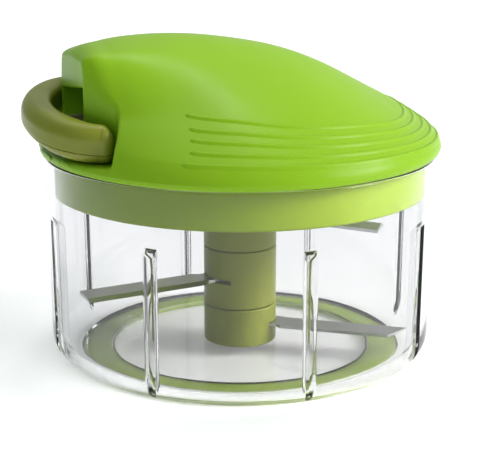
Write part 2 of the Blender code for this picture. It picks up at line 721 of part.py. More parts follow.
def dome_mesh():
    shape = bmesh.new()
    rings, angles = dome_rings(shape, DOME_COLUMNS, 0, True)
    low = []
    middle_z = (LID_WIDE_Z + LID_EDGE_Z) / 2
    middle_radius = LID_WIDE_RADIUS - (LID_WIDE_RADIUS - LID_EDGE_RADIUS) / 4
    chamfer_z = DOME_BOTTOM_Z + (LID_WIDE_Z - DOME_BOTTOM_Z) / 3
    chamfer = LID_RIM_RADIUS + (LID_WIDE_RADIUS - LID_RIM_RADIUS) * 2 / 3
    rim = [(LID_RIM_RADIUS, DOME_BOTTOM_Z), (chamfer, chamfer_z), (LID_WIDE_RADIUS, LID_WIDE_Z)]
    rim += [(middle_radius, middle_z), (LID_EDGE_RADIUS, LID_EDGE_Z)]
    for radius, z in rim:
        low.append([shape.verts.new((*circle_point(radius, angle), z)) for angle in angles])
    bottom = shape.verts.new((0, 0, DOME_BOTTOM_Z))
    ring_faces(shape, [[bottom]] + low + rings, closed=False)
    return finish_mesh("lid_dome", shape)


def cavity_mesh():
    shape = bmesh.new()
    rings, angles = dome_rings(shape, CAVITY_COLUMNS, LID_WALL, False)
    radius = LID_EDGE_RADIUS - LID_SPIGOT
    low = []
    for z in (DOME_BOTTOM_Z - OVERRUN, LID_EDGE_Z - LID_WALL):
        low.append([shape.verts.new((*circle_point(radius, angle), z)) for angle in angles])
    bottom = shape.verts.new((0, 0, DOME_BOTTOM_Z - OVERRUN))
    ring_faces(shape, [[bottom]] + low + rings, closed=False)
    return finish_mesh("cavity", shape)


def recess_outline(grow):
    """Plan of the recess behind the lid; grow moves its walls into the lid."""
    far = LID_WIDE_RADIUS + OVERRUN
    side = [
        (PILLAR_X - grow, PILLAR_HALF_WIDTH - grow),
        (RECESS_END_X - grow, RECESS_CORNER_Y - grow),
        (RECESS_END_X - grow, RECESS_OUTER_Y + grow),
        (RECESS_MOUTH_X - grow, math.sqrt(far * far - RECESS_MOUTH_X * RECESS_MOUTH_X) + grow),
        (far, far),
    ]
    return [(-x, y) for x, y in side[::-1]] + [(-x, -y) for x, y in side]


def ear_angles():
    return [EAR_FIRST_ANGLE + 2 * math.pi * i / EAR_COUNT for i in range(EAR_COUNT)]


def cover_screw_angles():
    turn = 2 * math.pi / COVER_SCREW_COUNT
    return [COVER_SCREW_FIRST + turn * i for i in range(COVER_SCREW_COUNT)]


def post_mesh(name, centre, angles, profile, steps=TINY_STEPS):
    """Copies of one turned post or hole, upright, on a circle."""
    single = turned(name + "_single", profile, steps)
    placed = [(single, Matrix.Translation((*circle_point(centre, angle), 0))) for angle in angles]
    return join_meshes(name, placed)


def make_dome(parent):
    dome = add_object("lid_dome", dome_mesh(), parent, (GREEN, 0.35))
    high = LID_CROWN_Z + OVERRUN
    feet = post_mesh("post_feet", COVER_SCREW_CENTRE, cover_screw_angles(),
                     rod_profile(COVER_POST_RADIUS - GAP, COVER_PLATE_TOP_Z + GAP, LID_EDGE_Z))
    cut(dome, cutter("post_feet", feet, parent), "UNION")
    recess = cutter("recess", prism("recess", recess_outline(0), LEDGE_Z, high), parent)
    cut(dome, recess)
    slot_half = PILLAR_HALF_WIDTH - SLOT_SIDE_WALL
    slot = prism("slot", box_outline(-PILLAR_X - OVERRUN, -SLOT_BACK_X, -slot_half, slot_half),
                 LEDGE_Z, SLOT_TOP_Z)
    cut(dome, cutter("slot", slot, parent))

    cavity = cutter("cavity", cavity_mesh(), parent)
    keep = prism("recess_keep", recess_outline(LID_WALL), LEDGE_Z - LID_WALL, high)
    cut(cavity, cutter("recess_keep", keep, parent))
    wall = LID_WALL
    half = slot_half + wall
    slot_keep = prism("slot_keep", box_outline(-PILLAR_X, -SLOT_BACK_X + wall, -half, half),
                      LEDGE_Z - wall, SLOT_TOP_Z + wall)
    cut(cavity, cutter("slot_keep", slot_keep, parent))
    posts = post_mesh("cover_posts", COVER_SCREW_CENTRE, cover_screw_angles(),
                      rod_profile(COVER_POST_RADIUS, COVER_PLATE_TOP_Z + GAP, high))
    cut(cavity, cutter("cover_posts", posts, parent))
    ears = post_mesh("ear_posts", EAR_CENTRE, ear_angles(),
                     rod_profile(EAR_RADIUS, HOUSING_BOTTOM_Z + HOUSING_WALL + GAP, high))
    cut(cavity, cutter("ear_posts", ears, parent))
    boss = turned("axle_boss", rod_profile(AXLE_BOSS_RADIUS, HOUSING_TOP_Z + GAP, high), SMALL_STEPS)
    cut(cavity, cutter("axle_boss", boss, parent))
    cut(dome, cavity)

    cut(dome, cutter("dome_holes", dome_holes(), parent))


def dome_holes():
    """Every screw hole, the axle's seat and the cord guide's bore, as one cutter."""
    identity = Matrix.Identity(4)
    screw_top = COVER_BOTTOM_Z + COVER_SCREW_LENGTH + GAP
    screws = post_mesh("screw_holes", COVER_SCREW_CENTRE, cover_screw_angles(),
                       rod_profile(COVER_SCREW_RADIUS + GAP, COVER_BOTTOM_Z, screw_top))
    ear_top = HOUSING_BOTTOM_Z + EAR_SCREW_LENGTH + GAP
    ears = post_mesh("ear_holes", EAR_CENTRE, ear_angles(),
                     rod_profile(EAR_SCREW_RADIUS + GAP, HOUSING_BOTTOM_Z, ear_top))
    seat = turned("axle_seat", rod_profile(AXLE_RADIUS + GAP, HOUSING_TOP_Z, axle_top() + GAP), SMALL_STEPS)
    guide = turned("guide_bore", rod_profile(guide_tube_radius() + GAP, -OVERRUN, LID_WALL + OVERRUN),
                   TINY_STEPS)
    lying = Matrix.Translation((-SLOT_BACK_X, 0, CORD_Z)) @ Matrix.Rotation(math.pi / 2, 4, "Y")
    placed = [(screws, identity), (ears, identity), (seat, identity), (guide, lying)]
    return join_meshes("dome_holes", placed)


def axle_top():
    return HOUSING_TOP_Z + AXLE_SEAT


def guide_tube_radius():
    return CORD_RADIUS + GAP + GUIDE_TUBE_WALL


def make_cover(parent):
    inner = COVER_RADIUS - COVER_WALL
    boss_inner = SHAFT_BUSH_OUTER + GAP
    boss_outer = boss_inner + COVER_BOSS_WALL
    boss_top = COVER_PLATE_TOP_Z + COVER_BOSS_HEIGHT
    cup = [(COVER_RADIUS, BOWL_RIM_Z), (COVER_RADIUS, COVER_BOTTOM_Z), (boss_inner, COVER_BOTTOM_Z)]
    cup += [(boss_inner, boss_top), (boss_outer, boss_top), (boss_outer, COVER_PLATE_TOP_Z)]
    cup += [(inner, COVER_PLATE_TOP_Z), (inner, BOWL_RIM_Z)]
    cover = add_object("lid_cover", turned("lid_cover", cup, WIDE_STEPS), parent, (LIGHT_GREEN, 0.4))
    holes = post_mesh("cover_holes", COVER_SCREW_CENTRE, cover_screw_angles(),
                      rod_profile(COVER_SCREW_RADIUS + GAP, COVER_BOTTOM_Z - OVERRUN,
                                  COVER_PLATE_TOP_Z + OVERRUN))
    cut(cover, cutter("cover_holes", holes, parent))


def screw_profile(radius, head, head_height, under, length):
    """A screw whose head's top face is at z = under and whose shank points up."""
    low = under - head_height
    profile = [(0, under + length), (radius / 2, under + length), (radius, under + length - radius)]
    profile += [(radius, under), (head, under), (head, low + head_height / 2), (head * 3 / 4, low), (0, low)]
    return profile


def make_screws(parent):
    cover = screw_profile(COVER_SCREW_RADIUS, COVER_SCREW_HEAD, COVER_SCREW_HEAD_HEIGHT,
                          COVER_BOTTOM_Z - GAP, COVER_SCREW_LENGTH)
    add_ring("cover_screw", cover, COVER_SCREW_CENTRE, cover_screw_angles(), parent, (STEEL, 0.3, 1.0))
    ear = screw_profile(EAR_SCREW_RADIUS, EAR_SCREW_HEAD, EAR_SCREW_HEAD_HEIGHT,
                        HOUSING_BOTTOM_Z - GAP, EAR_SCREW_LENGTH)
    add_ring("housing_screw", ear, EAR_CENTRE, ear_angles(), parent, (STEEL, 0.3, 1.0))


# Mechanism in the lid

def make_spring(parent):
    base = HOUSING_BOTTOM_Z
    cup = [(HOUSING_RADIUS, HOUSING_TOP_Z), (HOUSING_RADIUS, base)]
    cup += [(HOUSING_RADIUS - HOUSING_WALL, base), (HOUSING_RADIUS - HOUSING_WALL, HOUSING_TOP_Z - HOUSING_WALL)]
    cup += [(AXLE_RADIUS + GAP, HOUSING_TOP_Z - HOUSING_WALL), (AXLE_RADIUS + GAP, HOUSING_TOP_Z)]
    housing = add_object("spring_housing", turned("spring_housing", cup), parent, (STEEL, 0.4, 1.0))
    for i, angle in enumerate(ear_angles()):
        inner = HOUSING_RADIUS - HOUSING_WALL / 2
        outline = box_outline(inner, EAR_CENTRE + EAR_RADIUS, -EAR_RADIUS, EAR_RADIUS)
        ear = prism("ear_" + str(i), outline, base, base + HOUSING_WALL)
        tool = cutter("ear_" + str(i), ear, parent)
        tool.rotation_euler.z = angle
        cut(housing, tool, "UNION")
    holes = post_mesh("ear_holes", EAR_CENTRE, ear_angles(),
                      rod_profile(EAR_SCREW_RADIUS + GAP, base - OVERRUN, base + OVERRUN))
    cut(housing, cutter("ear_holes", holes, parent))

    shape = bmesh.new()
    rings = []
    steps = SPRING_TURNS * SPRING_STEPS
    low = HOUSING_BOTTOM_Z + GAP
    for i in range(steps + 1):
        share = i / steps
        angle = 2 * math.pi * SPRING_TURNS * share
        radius = SPRING_INNER + (SPRING_OUTER - SPRING_INNER) * share
        corners = [(radius, low), (radius + SPRING_BAND, low)]
        corners += [(radius + SPRING_BAND, low + SPRING_HEIGHT), (radius, low + SPRING_HEIGHT)]
        rings.append([shape.verts.new((*circle_point(r, angle), z)) for r, z in corners])
    ring_faces(shape, rings, closed=False)
    shape.faces.new(rings[0])
    shape.faces.new(rings[-1])
    add_object("mainspring", finish_mesh("mainspring", shape), parent, (STEEL, 0.35, 1.0))


def make_reel(parent):
    bottom = REEL_BOTTOM_Z
    drum_low = bottom + REEL_FLANGE
    drum_high = drum_low + DRUM_HEIGHT
    neck_top = REEL_TOP_Z + REEL_NECK_HEIGHT
    reel = [(REEL_RADIUS, bottom), (REEL_BORE, bottom), (REEL_BORE, neck_top)]
    reel += [(REEL_NECK_RADIUS, neck_top), (REEL_NECK_RADIUS, REEL_TOP_Z), (REEL_RADIUS, REEL_TOP_Z)]
    reel += [(REEL_RADIUS, drum_high), (DRUM_RADIUS, drum_high), (DRUM_RADIUS, drum_low)]
    reel += [(REEL_RADIUS, drum_low)]
    reel_object = add_object("cord_reel", turned("cord_reel", reel), parent, (WHITE, 0.4))
    pins = post_mesh("pawl_pin_holes", PAWL_PIVOT_RADIUS, pawl_angles(),
                     rod_profile(PAWL_PIN_RADIUS + GAP, bottom - OVERRUN, bottom + REEL_FLANGE * 2))
    cut(reel_object, cutter("pawl_pin_holes", pins, parent))
    winding = tube_profile(DRUM_RADIUS + GAP, DRUM_RADIUS + CORD_LAYER, drum_low + GAP,
                           drum_high - GAP)
    add_object("cord_winding", turned("cord_winding", winding), parent, (WHITE, 0.8))
    bush = tube_profile(AXLE_RADIUS + RUNNING, REEL_BORE - GAP, bottom, neck_top)
    add_object("reel_bush", turned("reel_bush", bush, SMALL_STEPS), parent, (STEEL, 0.4, 1.0))


def pawl_angles():
    return [2 * math.pi * i / PAWL_COUNT for i in range(PAWL_COUNT)]


def pawl_outline():
    """A pawl about its pivot, its tip a running gap behind a tooth's steep face."""
    outline = []
    for k in range(PAWL_ROUND_STEPS + 1):
        outline.append(circle_point(PAWL_WIDTH / 2, math.pi * (k / PAWL_ROUND_STEPS - 1)))
    behind = (GAP * math.sin(PAWL_TIP_ANGLE), -GAP * math.cos(PAWL_TIP_ANGLE))
    bends = [(PAWL_ELBOW_HIGH, PAWL_ELBOW_ANGLE, (0, 0)), (PAWL_TIP_HIGH, PAWL_TIP_ANGLE, behind)]
    bends += [(PAWL_TIP_LOW, PAWL_TIP_ANGLE, behind), (PAWL_ELBOW_LOW, PAWL_ELBOW_ANGLE, (0, 0))]
    for radius, angle, shift in bends:
        x, y = circle_point(radius, angle)
        outline.append((x + shift[0] - PAWL_PIVOT_RADIUS, y + shift[1]))
    return outline


def make_clutch(reel_parent, drive_parent):
    wheel_top = WHEEL_BOTTOM_Z + WHEEL_THICKNESS
    outline = []
    turn = 2 * math.pi / WHEEL_TEETH
    for i in range(WHEEL_TEETH):
        face = PAWL_TIP_ANGLE + turn * i
        outline.append(circle_point(WHEEL_RADIUS - WHEEL_TOOTH, face))
        outline.append(circle_point(WHEEL_RADIUS, face))
        outline.append(circle_point(WHEEL_RADIUS - WHEEL_TOOTH / 2, face + turn / 2))
    wheel = add_object("ratchet_wheel", prism("ratchet_wheel", outline, WHEEL_BOTTOM_Z, wheel_top),
                       drive_parent, (STEEL, 0.35, 1.0))
    bore = turned("wheel_bore", rod_profile(SHAFT_RADIUS + GAP, WHEEL_BOTTOM_Z - OVERRUN,
                                            wheel_top + OVERRUN), SMALL_STEPS)
    cut(wheel, cutter("wheel_bore", bore, drive_parent))

    pawl_low = WHEEL_BOTTOM_Z + (WHEEL_THICKNESS - PAWL_THICKNESS) / 2
    pin = rod_profile(PAWL_PIN_RADIUS, pawl_low - GAP, REEL_BOTTOM_Z + REEL_FLANGE)
    add_ring("pawl_pin", pin, PAWL_PIVOT_RADIUS, pawl_angles(), reel_parent, (STEEL, 0.3, 1.0))
    hole = PAWL_PIN_RADIUS + RUNNING
    for i, angle in enumerate(pawl_angles()):
        label = "ab"[i]
        location = (*circle_point(PAWL_PIVOT_RADIUS, angle), 0)
        pivot = add_empty("pawl_pivot_" + label, location, reel_parent)
        pivot.rotation_euler.z = angle
        mesh = prism("pawl_" + label, pawl_outline(), pawl_low, pawl_low + PAWL_THICKNESS)
        pawl = add_object("pawl_" + label, mesh, pivot, (STEEL, 0.35, 1.0))
        tool = cutter("pawl_hole_" + label,
                      turned("pawl_hole_" + label, rod_profile(hole, pawl_low - OVERRUN,
                                                               pawl_low + PAWL_THICKNESS + OVERRUN),
                             TINY_STEPS), pivot)
        cut(pawl, tool)


def make_shaft(lid_parent, drive_parent):
    bush_top = COVER_PLATE_TOP_Z + COVER_BOSS_HEIGHT
    inner = SHAFT_RADIUS + RUNNING
    flange = SHAFT_BUSH_OUTER + COVER_BOSS_WALL
    bush = [(SHAFT_BUSH_OUTER, COVER_BOTTOM_Z), (inner, COVER_BOTTOM_Z)]
    bush += [(inner, bush_top + GAP + BUSH_FLANGE), (flange, bush_top + GAP + BUSH_FLANGE)]
    bush += [(flange, bush_top + GAP), (SHAFT_BUSH_OUTER, bush_top + GAP)]
    add_object("shaft_bush", turned("shaft_bush", bush, MIDDLE_STEPS), lid_parent, (WHITE, 0.4))

    bore = AXLE_RADIUS + RUNNING
    hex_top = COVER_BOTTOM_Z
    rod = [(bore, SHAFT_TOP_Z), (bore, SHAFT_TOP_Z - SHAFT_BORE_DEPTH)]
    rod += [(0, SHAFT_TOP_Z - SHAFT_BORE_DEPTH)]
    body = rod[::-1] + [(SHAFT_RADIUS, SHAFT_TOP_Z), (SHAFT_RADIUS, hex_top), (0, hex_top)]
    shaft = add_object("drive_shaft", turned("drive_shaft", body, SMALL_STEPS * 2), drive_parent,
                       (WHITE, 0.4))
    hexagon_part = prism("shaft_hexagon", hexagon(HEX_FLATS), HEX_TIP_Z, hex_top + OVERRUN)
    cut(shaft, cutter("shaft_hexagon", hexagon_part, drive_parent), "UNION")

    clip_low = bush_top + BUSH_FLANGE + 2 * GAP
    start = CLIP_GAP_ANGLE / 2
    span = 2 * math.pi - CLIP_GAP_ANGLE
    angles = [start + span * i / SMALL_STEPS for i in range(SMALL_STEPS + 1)]
    outer = [circle_point(SHAFT_RADIUS + GAP + CLIP_WIDTH, angle) for angle in angles]
    inside = [circle_point(SHAFT_RADIUS + GAP, angle) for angle in angles]
    clip = prism("retaining_clip", outer + inside[::-1], clip_low, clip_low + CLIP_THICKNESS)
    add_object("retaining_clip", clip, drive_parent, (STEEL, 0.3, 1.0))

    top = axle_top()
    axle = rod_profile(AXLE_RADIUS, AXLE_BOTTOM_Z, top)
    add_object("reel_axle", turned("reel_axle", axle, SMALL_STEPS), lid_parent, (STEEL, 0.3, 1.0))


def make_cord(parent):
    """Cord guide, and the cord's straight run from the reel to the grip."""
    radius = guide_tube_radius()
    tube_end = LID_WALL
    guide = [(CORD_RADIUS + GAP, -GUIDE_FLANGE - GAP), (CORD_RADIUS + GAP, tube_end), (radius, tube_end)]
    guide += [(radius, -GAP), (GUIDE_FLANGE_RADIUS, -GAP), (GUIDE_FLANGE_RADIUS, -GUIDE_FLANGE - GAP)]
    made = add_object("cord_guide", turned("cord_guide", guide, SMALL_STEPS), parent, (WHITE, 0.3))
    made.location = (-SLOT_BACK_X, 0, CORD_Z)
    made.rotation_euler.y = math.pi / 2

    lean = math.acos(WIND_RADIUS / SLOT_BACK_X)
    leave = Vector((*circle_point(WIND_RADIUS, math.pi - lean), CORD_Z))
    turn_in = Vector((-SLOT_BACK_X + LID_WALL, 0, CORD_Z))
    end = Vector((-knot_face(), 0, CORD_Z))
    points = [leave + (turn_in - leave) * (i / CORD_STEPS) for i in range(CORD_STEPS)]
    points += [turn_in + (end - turn_in) * (i / CORD_STEPS) for i in range(CORD_STEPS + 1)]
    curve = bpy.data.curves.new("pull_cord", "CURVE")
    curve.dimensions = "3D"
    curve.bevel_depth = CORD_RADIUS
    curve.bevel_resolution = 2
    curve.use_fill_caps = True
    spline = curve.splines.new("POLY")
    spline.points.add(len(points) - 1)
    for place, point in zip(spline.points, points):
        place.co = (*point, 1)
    curve.materials.append(make_material("pull_cord", WHITE, 0.8))
    cord = bpy.data.objects.new("pull_cord", curve)
    bpy.context.scene.collection.objects.link(cord)
    cord.parent = parent


# Grip

def knot_face():
    """Distance from the bowl's axis to the face of the cord's knot."""
    return GRIP_REACH - GRIP_BAR + GAP


def grip_edges(angle):
    """Outer and inner plan points of the C-shaped grip at an angle from its middle."""
    reach = GRIP_REACH - GRIP_END_X
    span = GRIP_HALF_SPAN - GRIP_BAR
    along, across = math.cos(angle), math.sin(angle)
    corner = GRIP_CORNER * smooth_step((abs(across) - GRIP_CORNER_SHARE) / (1 - GRIP_CORNER_SHARE))
    outer = (-GRIP_END_X - reach * along, GRIP_HALF_SPAN * across)
    inner = (-GRIP_END_X - (reach - GRIP_BAR) * along, (span + corner) * across)
    return Vector(outer), Vector(inner)


def quarter_round(amount, lift, turn):
    """Points of a rounded corner as (inset, z); turn 1 is the top, -1 the foot."""
    angles = [math.pi / 2 * i / GRIP_ROUND_STEPS for i in range(GRIP_ROUND_STEPS + 1)]
    return [(amount - amount * math.cos(a), lift + turn * amount * (math.sin(a) - 1)) for a in angles]


def grip_half(name, flat_z, round_z, amount, turn):
    """One half of the grip: flat at flat_z, with rounded edges at round_z."""
    corner = quarter_round(amount, round_z, turn)
    shape = bmesh.new()
    rings = []
    for i in range(GRIP_STEPS + 1):
        outer, inner = grip_edges(math.pi * (i / GRIP_STEPS - 1 / 2))
        width = (outer - inner).length
        inward = (inner - outer) / width
        side = [(0, flat_z)] + corner
        side += [(width - inset, z) for inset, z in side[::-1]]
        rings.append([shape.verts.new((*(outer + inward * inset), z)) for inset, z in side])
    ring_faces(shape, rings, closed=False)
    shape.faces.new(rings[0])
    shape.faces.new(rings[-1])
    return finish_mesh(name, shape)


def make_grip(parent):
    grip = add_empty("grip_axis", (0, 0, CORD_Z), parent)
    grip.rotation_euler.x = GRIP_ROLL
    upper = add_object("handle_upper",
                       grip_half("handle_upper", GRIP_PART, GRIP_TOP, GRIP_TOP_ROUND, 1),
                       grip, (OLIVE, 0.4))
    lower = add_object("handle_lower",
                       grip_half("handle_lower", GRIP_PART - GAP, GRIP_BOTTOM, GRIP_FOOT_ROUND, -1),
                       grip, (OLIVE, 0.45))
    face = knot_face()
    half = KNOT_RADIUS + GAP
    pocket = prism("knot_pocket", box_outline(-face - KNOT_LENGTH - 2 * GAP, -face, -half, half),
                   GRIP_PART - OVERRUN, half)
    cut(upper, cutter("knot_pocket", pocket, grip))
    lane = CORD_RADIUS + GAP
    channel = prism("cord_channel", box_outline(-face - GAP, -face + OVERRUN, -lane, lane),
                    GRIP_PART - OVERRUN, lane)
    cut(upper, cutter("cord_channel", channel, grip))

    knot = [(0, 0), (KNOT_RADIUS * 2 / 3, 0), (KNOT_RADIUS, KNOT_LENGTH / 3)]
    knot += [(KNOT_RADIUS, KNOT_LENGTH * 2 / 3), (KNOT_RADIUS * 2 / 3, KNOT_LENGTH), (0, KNOT_LENGTH)]
    made = add_object("cord_knot", turned("cord_knot", knot, TINY_STEPS), grip, (WHITE, 0.8))
    made.location = (-face - GAP, 0, 0)
    made.rotation_euler.y = -math.pi / 2

    centre = grip_screw_x()
    under = GRIP_BOTTOM + GRIP_SCREW_HEAD_HEIGHT + GAP
    shank = rod_profile(GRIP_SCREW_RADIUS + GAP, GRIP_BOTTOM - OVERRUN, under + GRIP_SCREW_LENGTH + GAP)
    sink = rod_profile(GRIP_SCREW_HEAD + GAP, GRIP_BOTTOM - OVERRUN, under + GAP)
    screw = screw_profile(GRIP_SCREW_RADIUS, GRIP_SCREW_HEAD, GRIP_SCREW_HEAD_HEIGHT, under,
                          GRIP_SCREW_LENGTH)
    places = [Matrix.Translation((centre, side * GRIP_SCREW_Y, 0)) for side in (-1, 1)]
    for label, profile, targets in (("shank", shank, (upper, lower)), ("sink", sink, (lower,))):
        single = turned("grip_" + label, profile, TINY_STEPS)
        tool = cutter("grip_" + label, join_meshes("grip_" + label, [(single, p) for p in places]), grip)
        for target in targets:
            cut(target, tool)
    side_angle = math.atan2(GRIP_SCREW_Y, centre)
    add_ring("handle_screw", screw, math.hypot(centre, GRIP_SCREW_Y), (side_angle, -side_angle), grip,
             (STEEL, 0.3, 1.0))


def grip_screw_x():
    """Middle of the grip's bar at the screws' distance from the middle plane."""
    reach = GRIP_REACH - GRIP_END_X - GRIP_BAR / 2
    span = GRIP_HALF_SPAN - GRIP_BAR / 2
    return -GRIP_END_X - reach * math.sqrt(1 - (GRIP_SCREW_Y / span) ** 2)


clear_scene()
axis = add_empty("bowl_axis", (AXIS_X, 0, 0))
reel_axis = add_empty("reel_axis", (0, 0, 0), axis)
drive_axis = add_empty("drive_axis", (0, 0, 0), axis)
make_bowl(axis)
make_base(axis)
make_tower(axis)
make_dome(axis)
make_cover(axis)
make_screws(axis)
make_spring(axis)
make_reel(reel_axis)
make_clutch(reel_axis, drive_axis)
make_shaft(axis, drive_axis)
make_cord(axis)
make_grip(axis)
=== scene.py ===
"""Looks of the pull cord food chopper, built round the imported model.

Shapes are drawn in millimetres about the bowl's own axis, and placed() puts
them into the frame.  The dome, the grip and the hubs are skins of smooth solids
given by distance formulas.  The bowl, the base ring and the lid's cover are
turned profiles, and the cord is a tube.  The other nodes keep their solids.
"""

import math

import bpy
import numpy as np
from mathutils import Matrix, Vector


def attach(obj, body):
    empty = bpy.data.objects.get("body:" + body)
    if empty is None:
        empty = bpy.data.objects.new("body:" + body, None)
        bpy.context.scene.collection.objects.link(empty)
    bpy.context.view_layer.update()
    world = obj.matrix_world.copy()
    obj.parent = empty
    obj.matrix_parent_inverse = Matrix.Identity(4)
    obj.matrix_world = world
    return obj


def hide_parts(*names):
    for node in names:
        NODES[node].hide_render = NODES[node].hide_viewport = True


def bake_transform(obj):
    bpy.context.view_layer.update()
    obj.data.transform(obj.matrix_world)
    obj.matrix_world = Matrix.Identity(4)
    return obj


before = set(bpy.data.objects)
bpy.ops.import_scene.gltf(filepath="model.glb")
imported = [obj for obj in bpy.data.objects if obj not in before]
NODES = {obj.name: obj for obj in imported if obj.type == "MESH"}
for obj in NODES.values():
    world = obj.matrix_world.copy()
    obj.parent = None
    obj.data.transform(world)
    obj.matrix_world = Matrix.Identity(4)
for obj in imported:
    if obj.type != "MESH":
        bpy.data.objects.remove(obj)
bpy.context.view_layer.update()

# The bowl's axis in the frame, and a millimetre, both in metres
AXIS_X = 0.0029
MM = 0.001

# Bowl, its rounded corners outside and inside, and the rounding of its rim outside and inside
BOWL_RIM_R, BOWL_FOOT_R, BOWL_RIM_Z = 63.5, 62.8, 69.5
BOWL_WALL, BOWL_UNDER_Z, BOWL_FLOOR_Z = 2.5, 1.5, 3.7
BOWL_CORNER, BOWL_CORNER_INSIDE = 8.0, 7.6
BOWL_RIM_OUTSIDE, BOWL_RIM_INSIDE = 0.7, 0.5
WALL_LEVELS = [*np.linspace(11.5, 47.5, 14), *np.linspace(48.2, 51.9, 16),
               *np.linspace(53, 68.6, 7)]
# (r, z, rounding) of the channel that holds the base ring, and of the boss for the pin
RING_CHANNEL = [(42.4, 1.5, 0.3), (42.7, 2.7, 0.3), (53.3, 2.7, 0.3), (53.6, 1.5, 0.3)]
PIN_BOSS = [(5.6, 3.7, 0.5), (5.6, 5.5, 0.4), (2.55, 5.5, 0.2), (2.55, 2.3, 0)]
PIN_HOLE_Z = 2.3
UNDER_ROW_R, FLOOR_ROW_R = 20.0, 30.0
BASE_RING = [(43.1, 0.0, 0.8), (52.9, 0.0, 0.8), (52.9, 2.5, 0.3), (43.1, 2.5, 0.3)]

# Grooves in the bowl's wall: half their width, half that of their flat bottom, and how far the
# columns of points lie close together beside a groove's middle
GROOVES, GROOVE_FIRST = 8, math.radians(-135.35)
GROOVE_HALF, GROOVE_DEPTH, GROOVE_TOP, GROOVE_FACET = 1.75, 2.3, 50.1, 3.0
GROOVE_FLAT_HALF, GROOVE_NEAR = 0.5, 3.6
GROOVE_INSIDE_HIGHER, GROOVE_INSIDE_WIDER = 0.8, 0.3
GROOVE_COLUMNS, PLAIN_COLUMNS, CORNER_STEPS, RIM_STEPS = 36, 28, 12, 4

# Lid.  The tables of the dome give a share of its height against x as a share of EDGE_R, and
# SPINE_FOOT gives the half width of the spine's foot against x.
EDGE_R, EDGE_Z, CROWN_Z = 64.6, 75.0, 107.8
LID_LOW_Z, LEDGE_Z, WALL, RIM_ROUND = 69.8, 73.2, 2.2, 2.6
CORD_Z, CORD_R = 82.9, 1.1
CROWN = [(-1.0, 0.0), (-0.93, 0.55), (-0.86, 0.855), (-0.71, 0.965), (-0.48, 1.0),
         (-0.28, 0.99), (-0.09, 0.945), (0.124, 0.865), (0.28, 0.775), (0.40, 0.68),
         (0.495, 0.59), (0.59, 0.49), (0.68, 0.395), (0.79, 0.28), (0.88, 0.175),
         (0.95, 0.085), (1.0, 0.0)]
SPINE = [(-1.0, 0.215), (-0.72, 0.215), (-0.5, 0.13), (-0.22, 0.0), (1.0, 0.0)]
FLAT_TOP = [(-1.0, 0.96), (-0.86, 0.92), (-0.8, 0.78), (-0.72, 0.55), (-0.6, 0.32),
            (-0.45, 0.14), (-0.22, 0.0), (1.0, 0.0)]
FALL_POWER, FALL_BEND, FALL_LIMIT, CREST = 1.35, 0.95, 1.2, 0.07
SPINE_FLAT, SPINE_POWER = 12.8, 1.5
SPINE_FOOT = [(-66.0, 15.2), (-59.0, 15.6), (-55.6, 16.4), (-52.1, 24.0), (-48.3, 29.0),
              (-40.0, 36.0), (-25.0, 44.0), (0.0, 50.0), (66.0, 50.0)]
# The roof behind the lid falls towards the far side: by how much, between which y, and from
# which x on and over what run it comes in
FAR_SIDE_DROP, FAR_SIDE_Y, FAR_SIDE_WIDTH, FAR_SIDE_X, FAR_SIDE_RUN = 0.11, 1.0, 14.0, -30.0, 22.0

# Radius of each ridge at its ends, its growth towards the front, and the angle where it ends;
# RIDGE_BEND gives the share of the growth against the angle
RIDGES = [(62.5, 1.4, 125.4), (59.2, 2.3, 124.1), (55.7, 3.0, 125.0), (52.4, 3.2, 126.5),
          (48.4, 4.0, 129.3)]
RIDGE_BEND = [(0, 1.3), (25, 1.22), (47, 1.0), (64, 0.62), (77, 0.45), (90, 0.25), (102, 0.1),
              (114, 0.02), (180, 0.0)]
RIDGE_HEIGHT, RIDGE_OUT, RIDGE_IN, RIDGE_POWER = 0.42, 0.85, 0.75, 1.2
RIDGE_TAPER, RIDGE_LEAST_TAPER = 1.4, 0.05

# Recess behind the lid in plan, and the slot above it, whose roof falls towards the far side
RECESS = [(-55.6, 14.6), (-48.3, 24.6), (-48.1, 26.4), (-49.2, 29.6), (-50.5, 32.2), (-52.4, 34.9),
          (-56.5, 39.0), (-70.0, 64.0)]
SLOT_BACK, SLOT_HALF, SLOT_TOP, SLOT_TILT = -48.2, 13.2, 92.4, -0.15
# Roundings: of the recess' floor and the slot's roof and corners, of the outer edges of lid,
# recess and slot, and of the room inside and its edge
RECESS_FLOOR_ROUND, SLOT_ROOF_ROUND, SLOT_CORNER_ROUND = 2.4, 0.8, 0.6
LOW_EDGE_ROUND, RECESS_EDGE_ROUND, SLOT_EDGE_ROUND = 0.5, 0.9, 0.7
ROOM_INSET, ROOM_ROUND, ROOM_EDGE_ROUND = 5.2, 1.0, 0.3
# Radius of the lid's skirt against height
SIDE_Z = [68.0, 69.8, 70.5, 71.8, 73.4, 75.0, 77.0, 110.0]
SIDE_R = [62.4, 63.8, 64.9, 65.35, 65.2, 64.75, 64.3, 62.0]
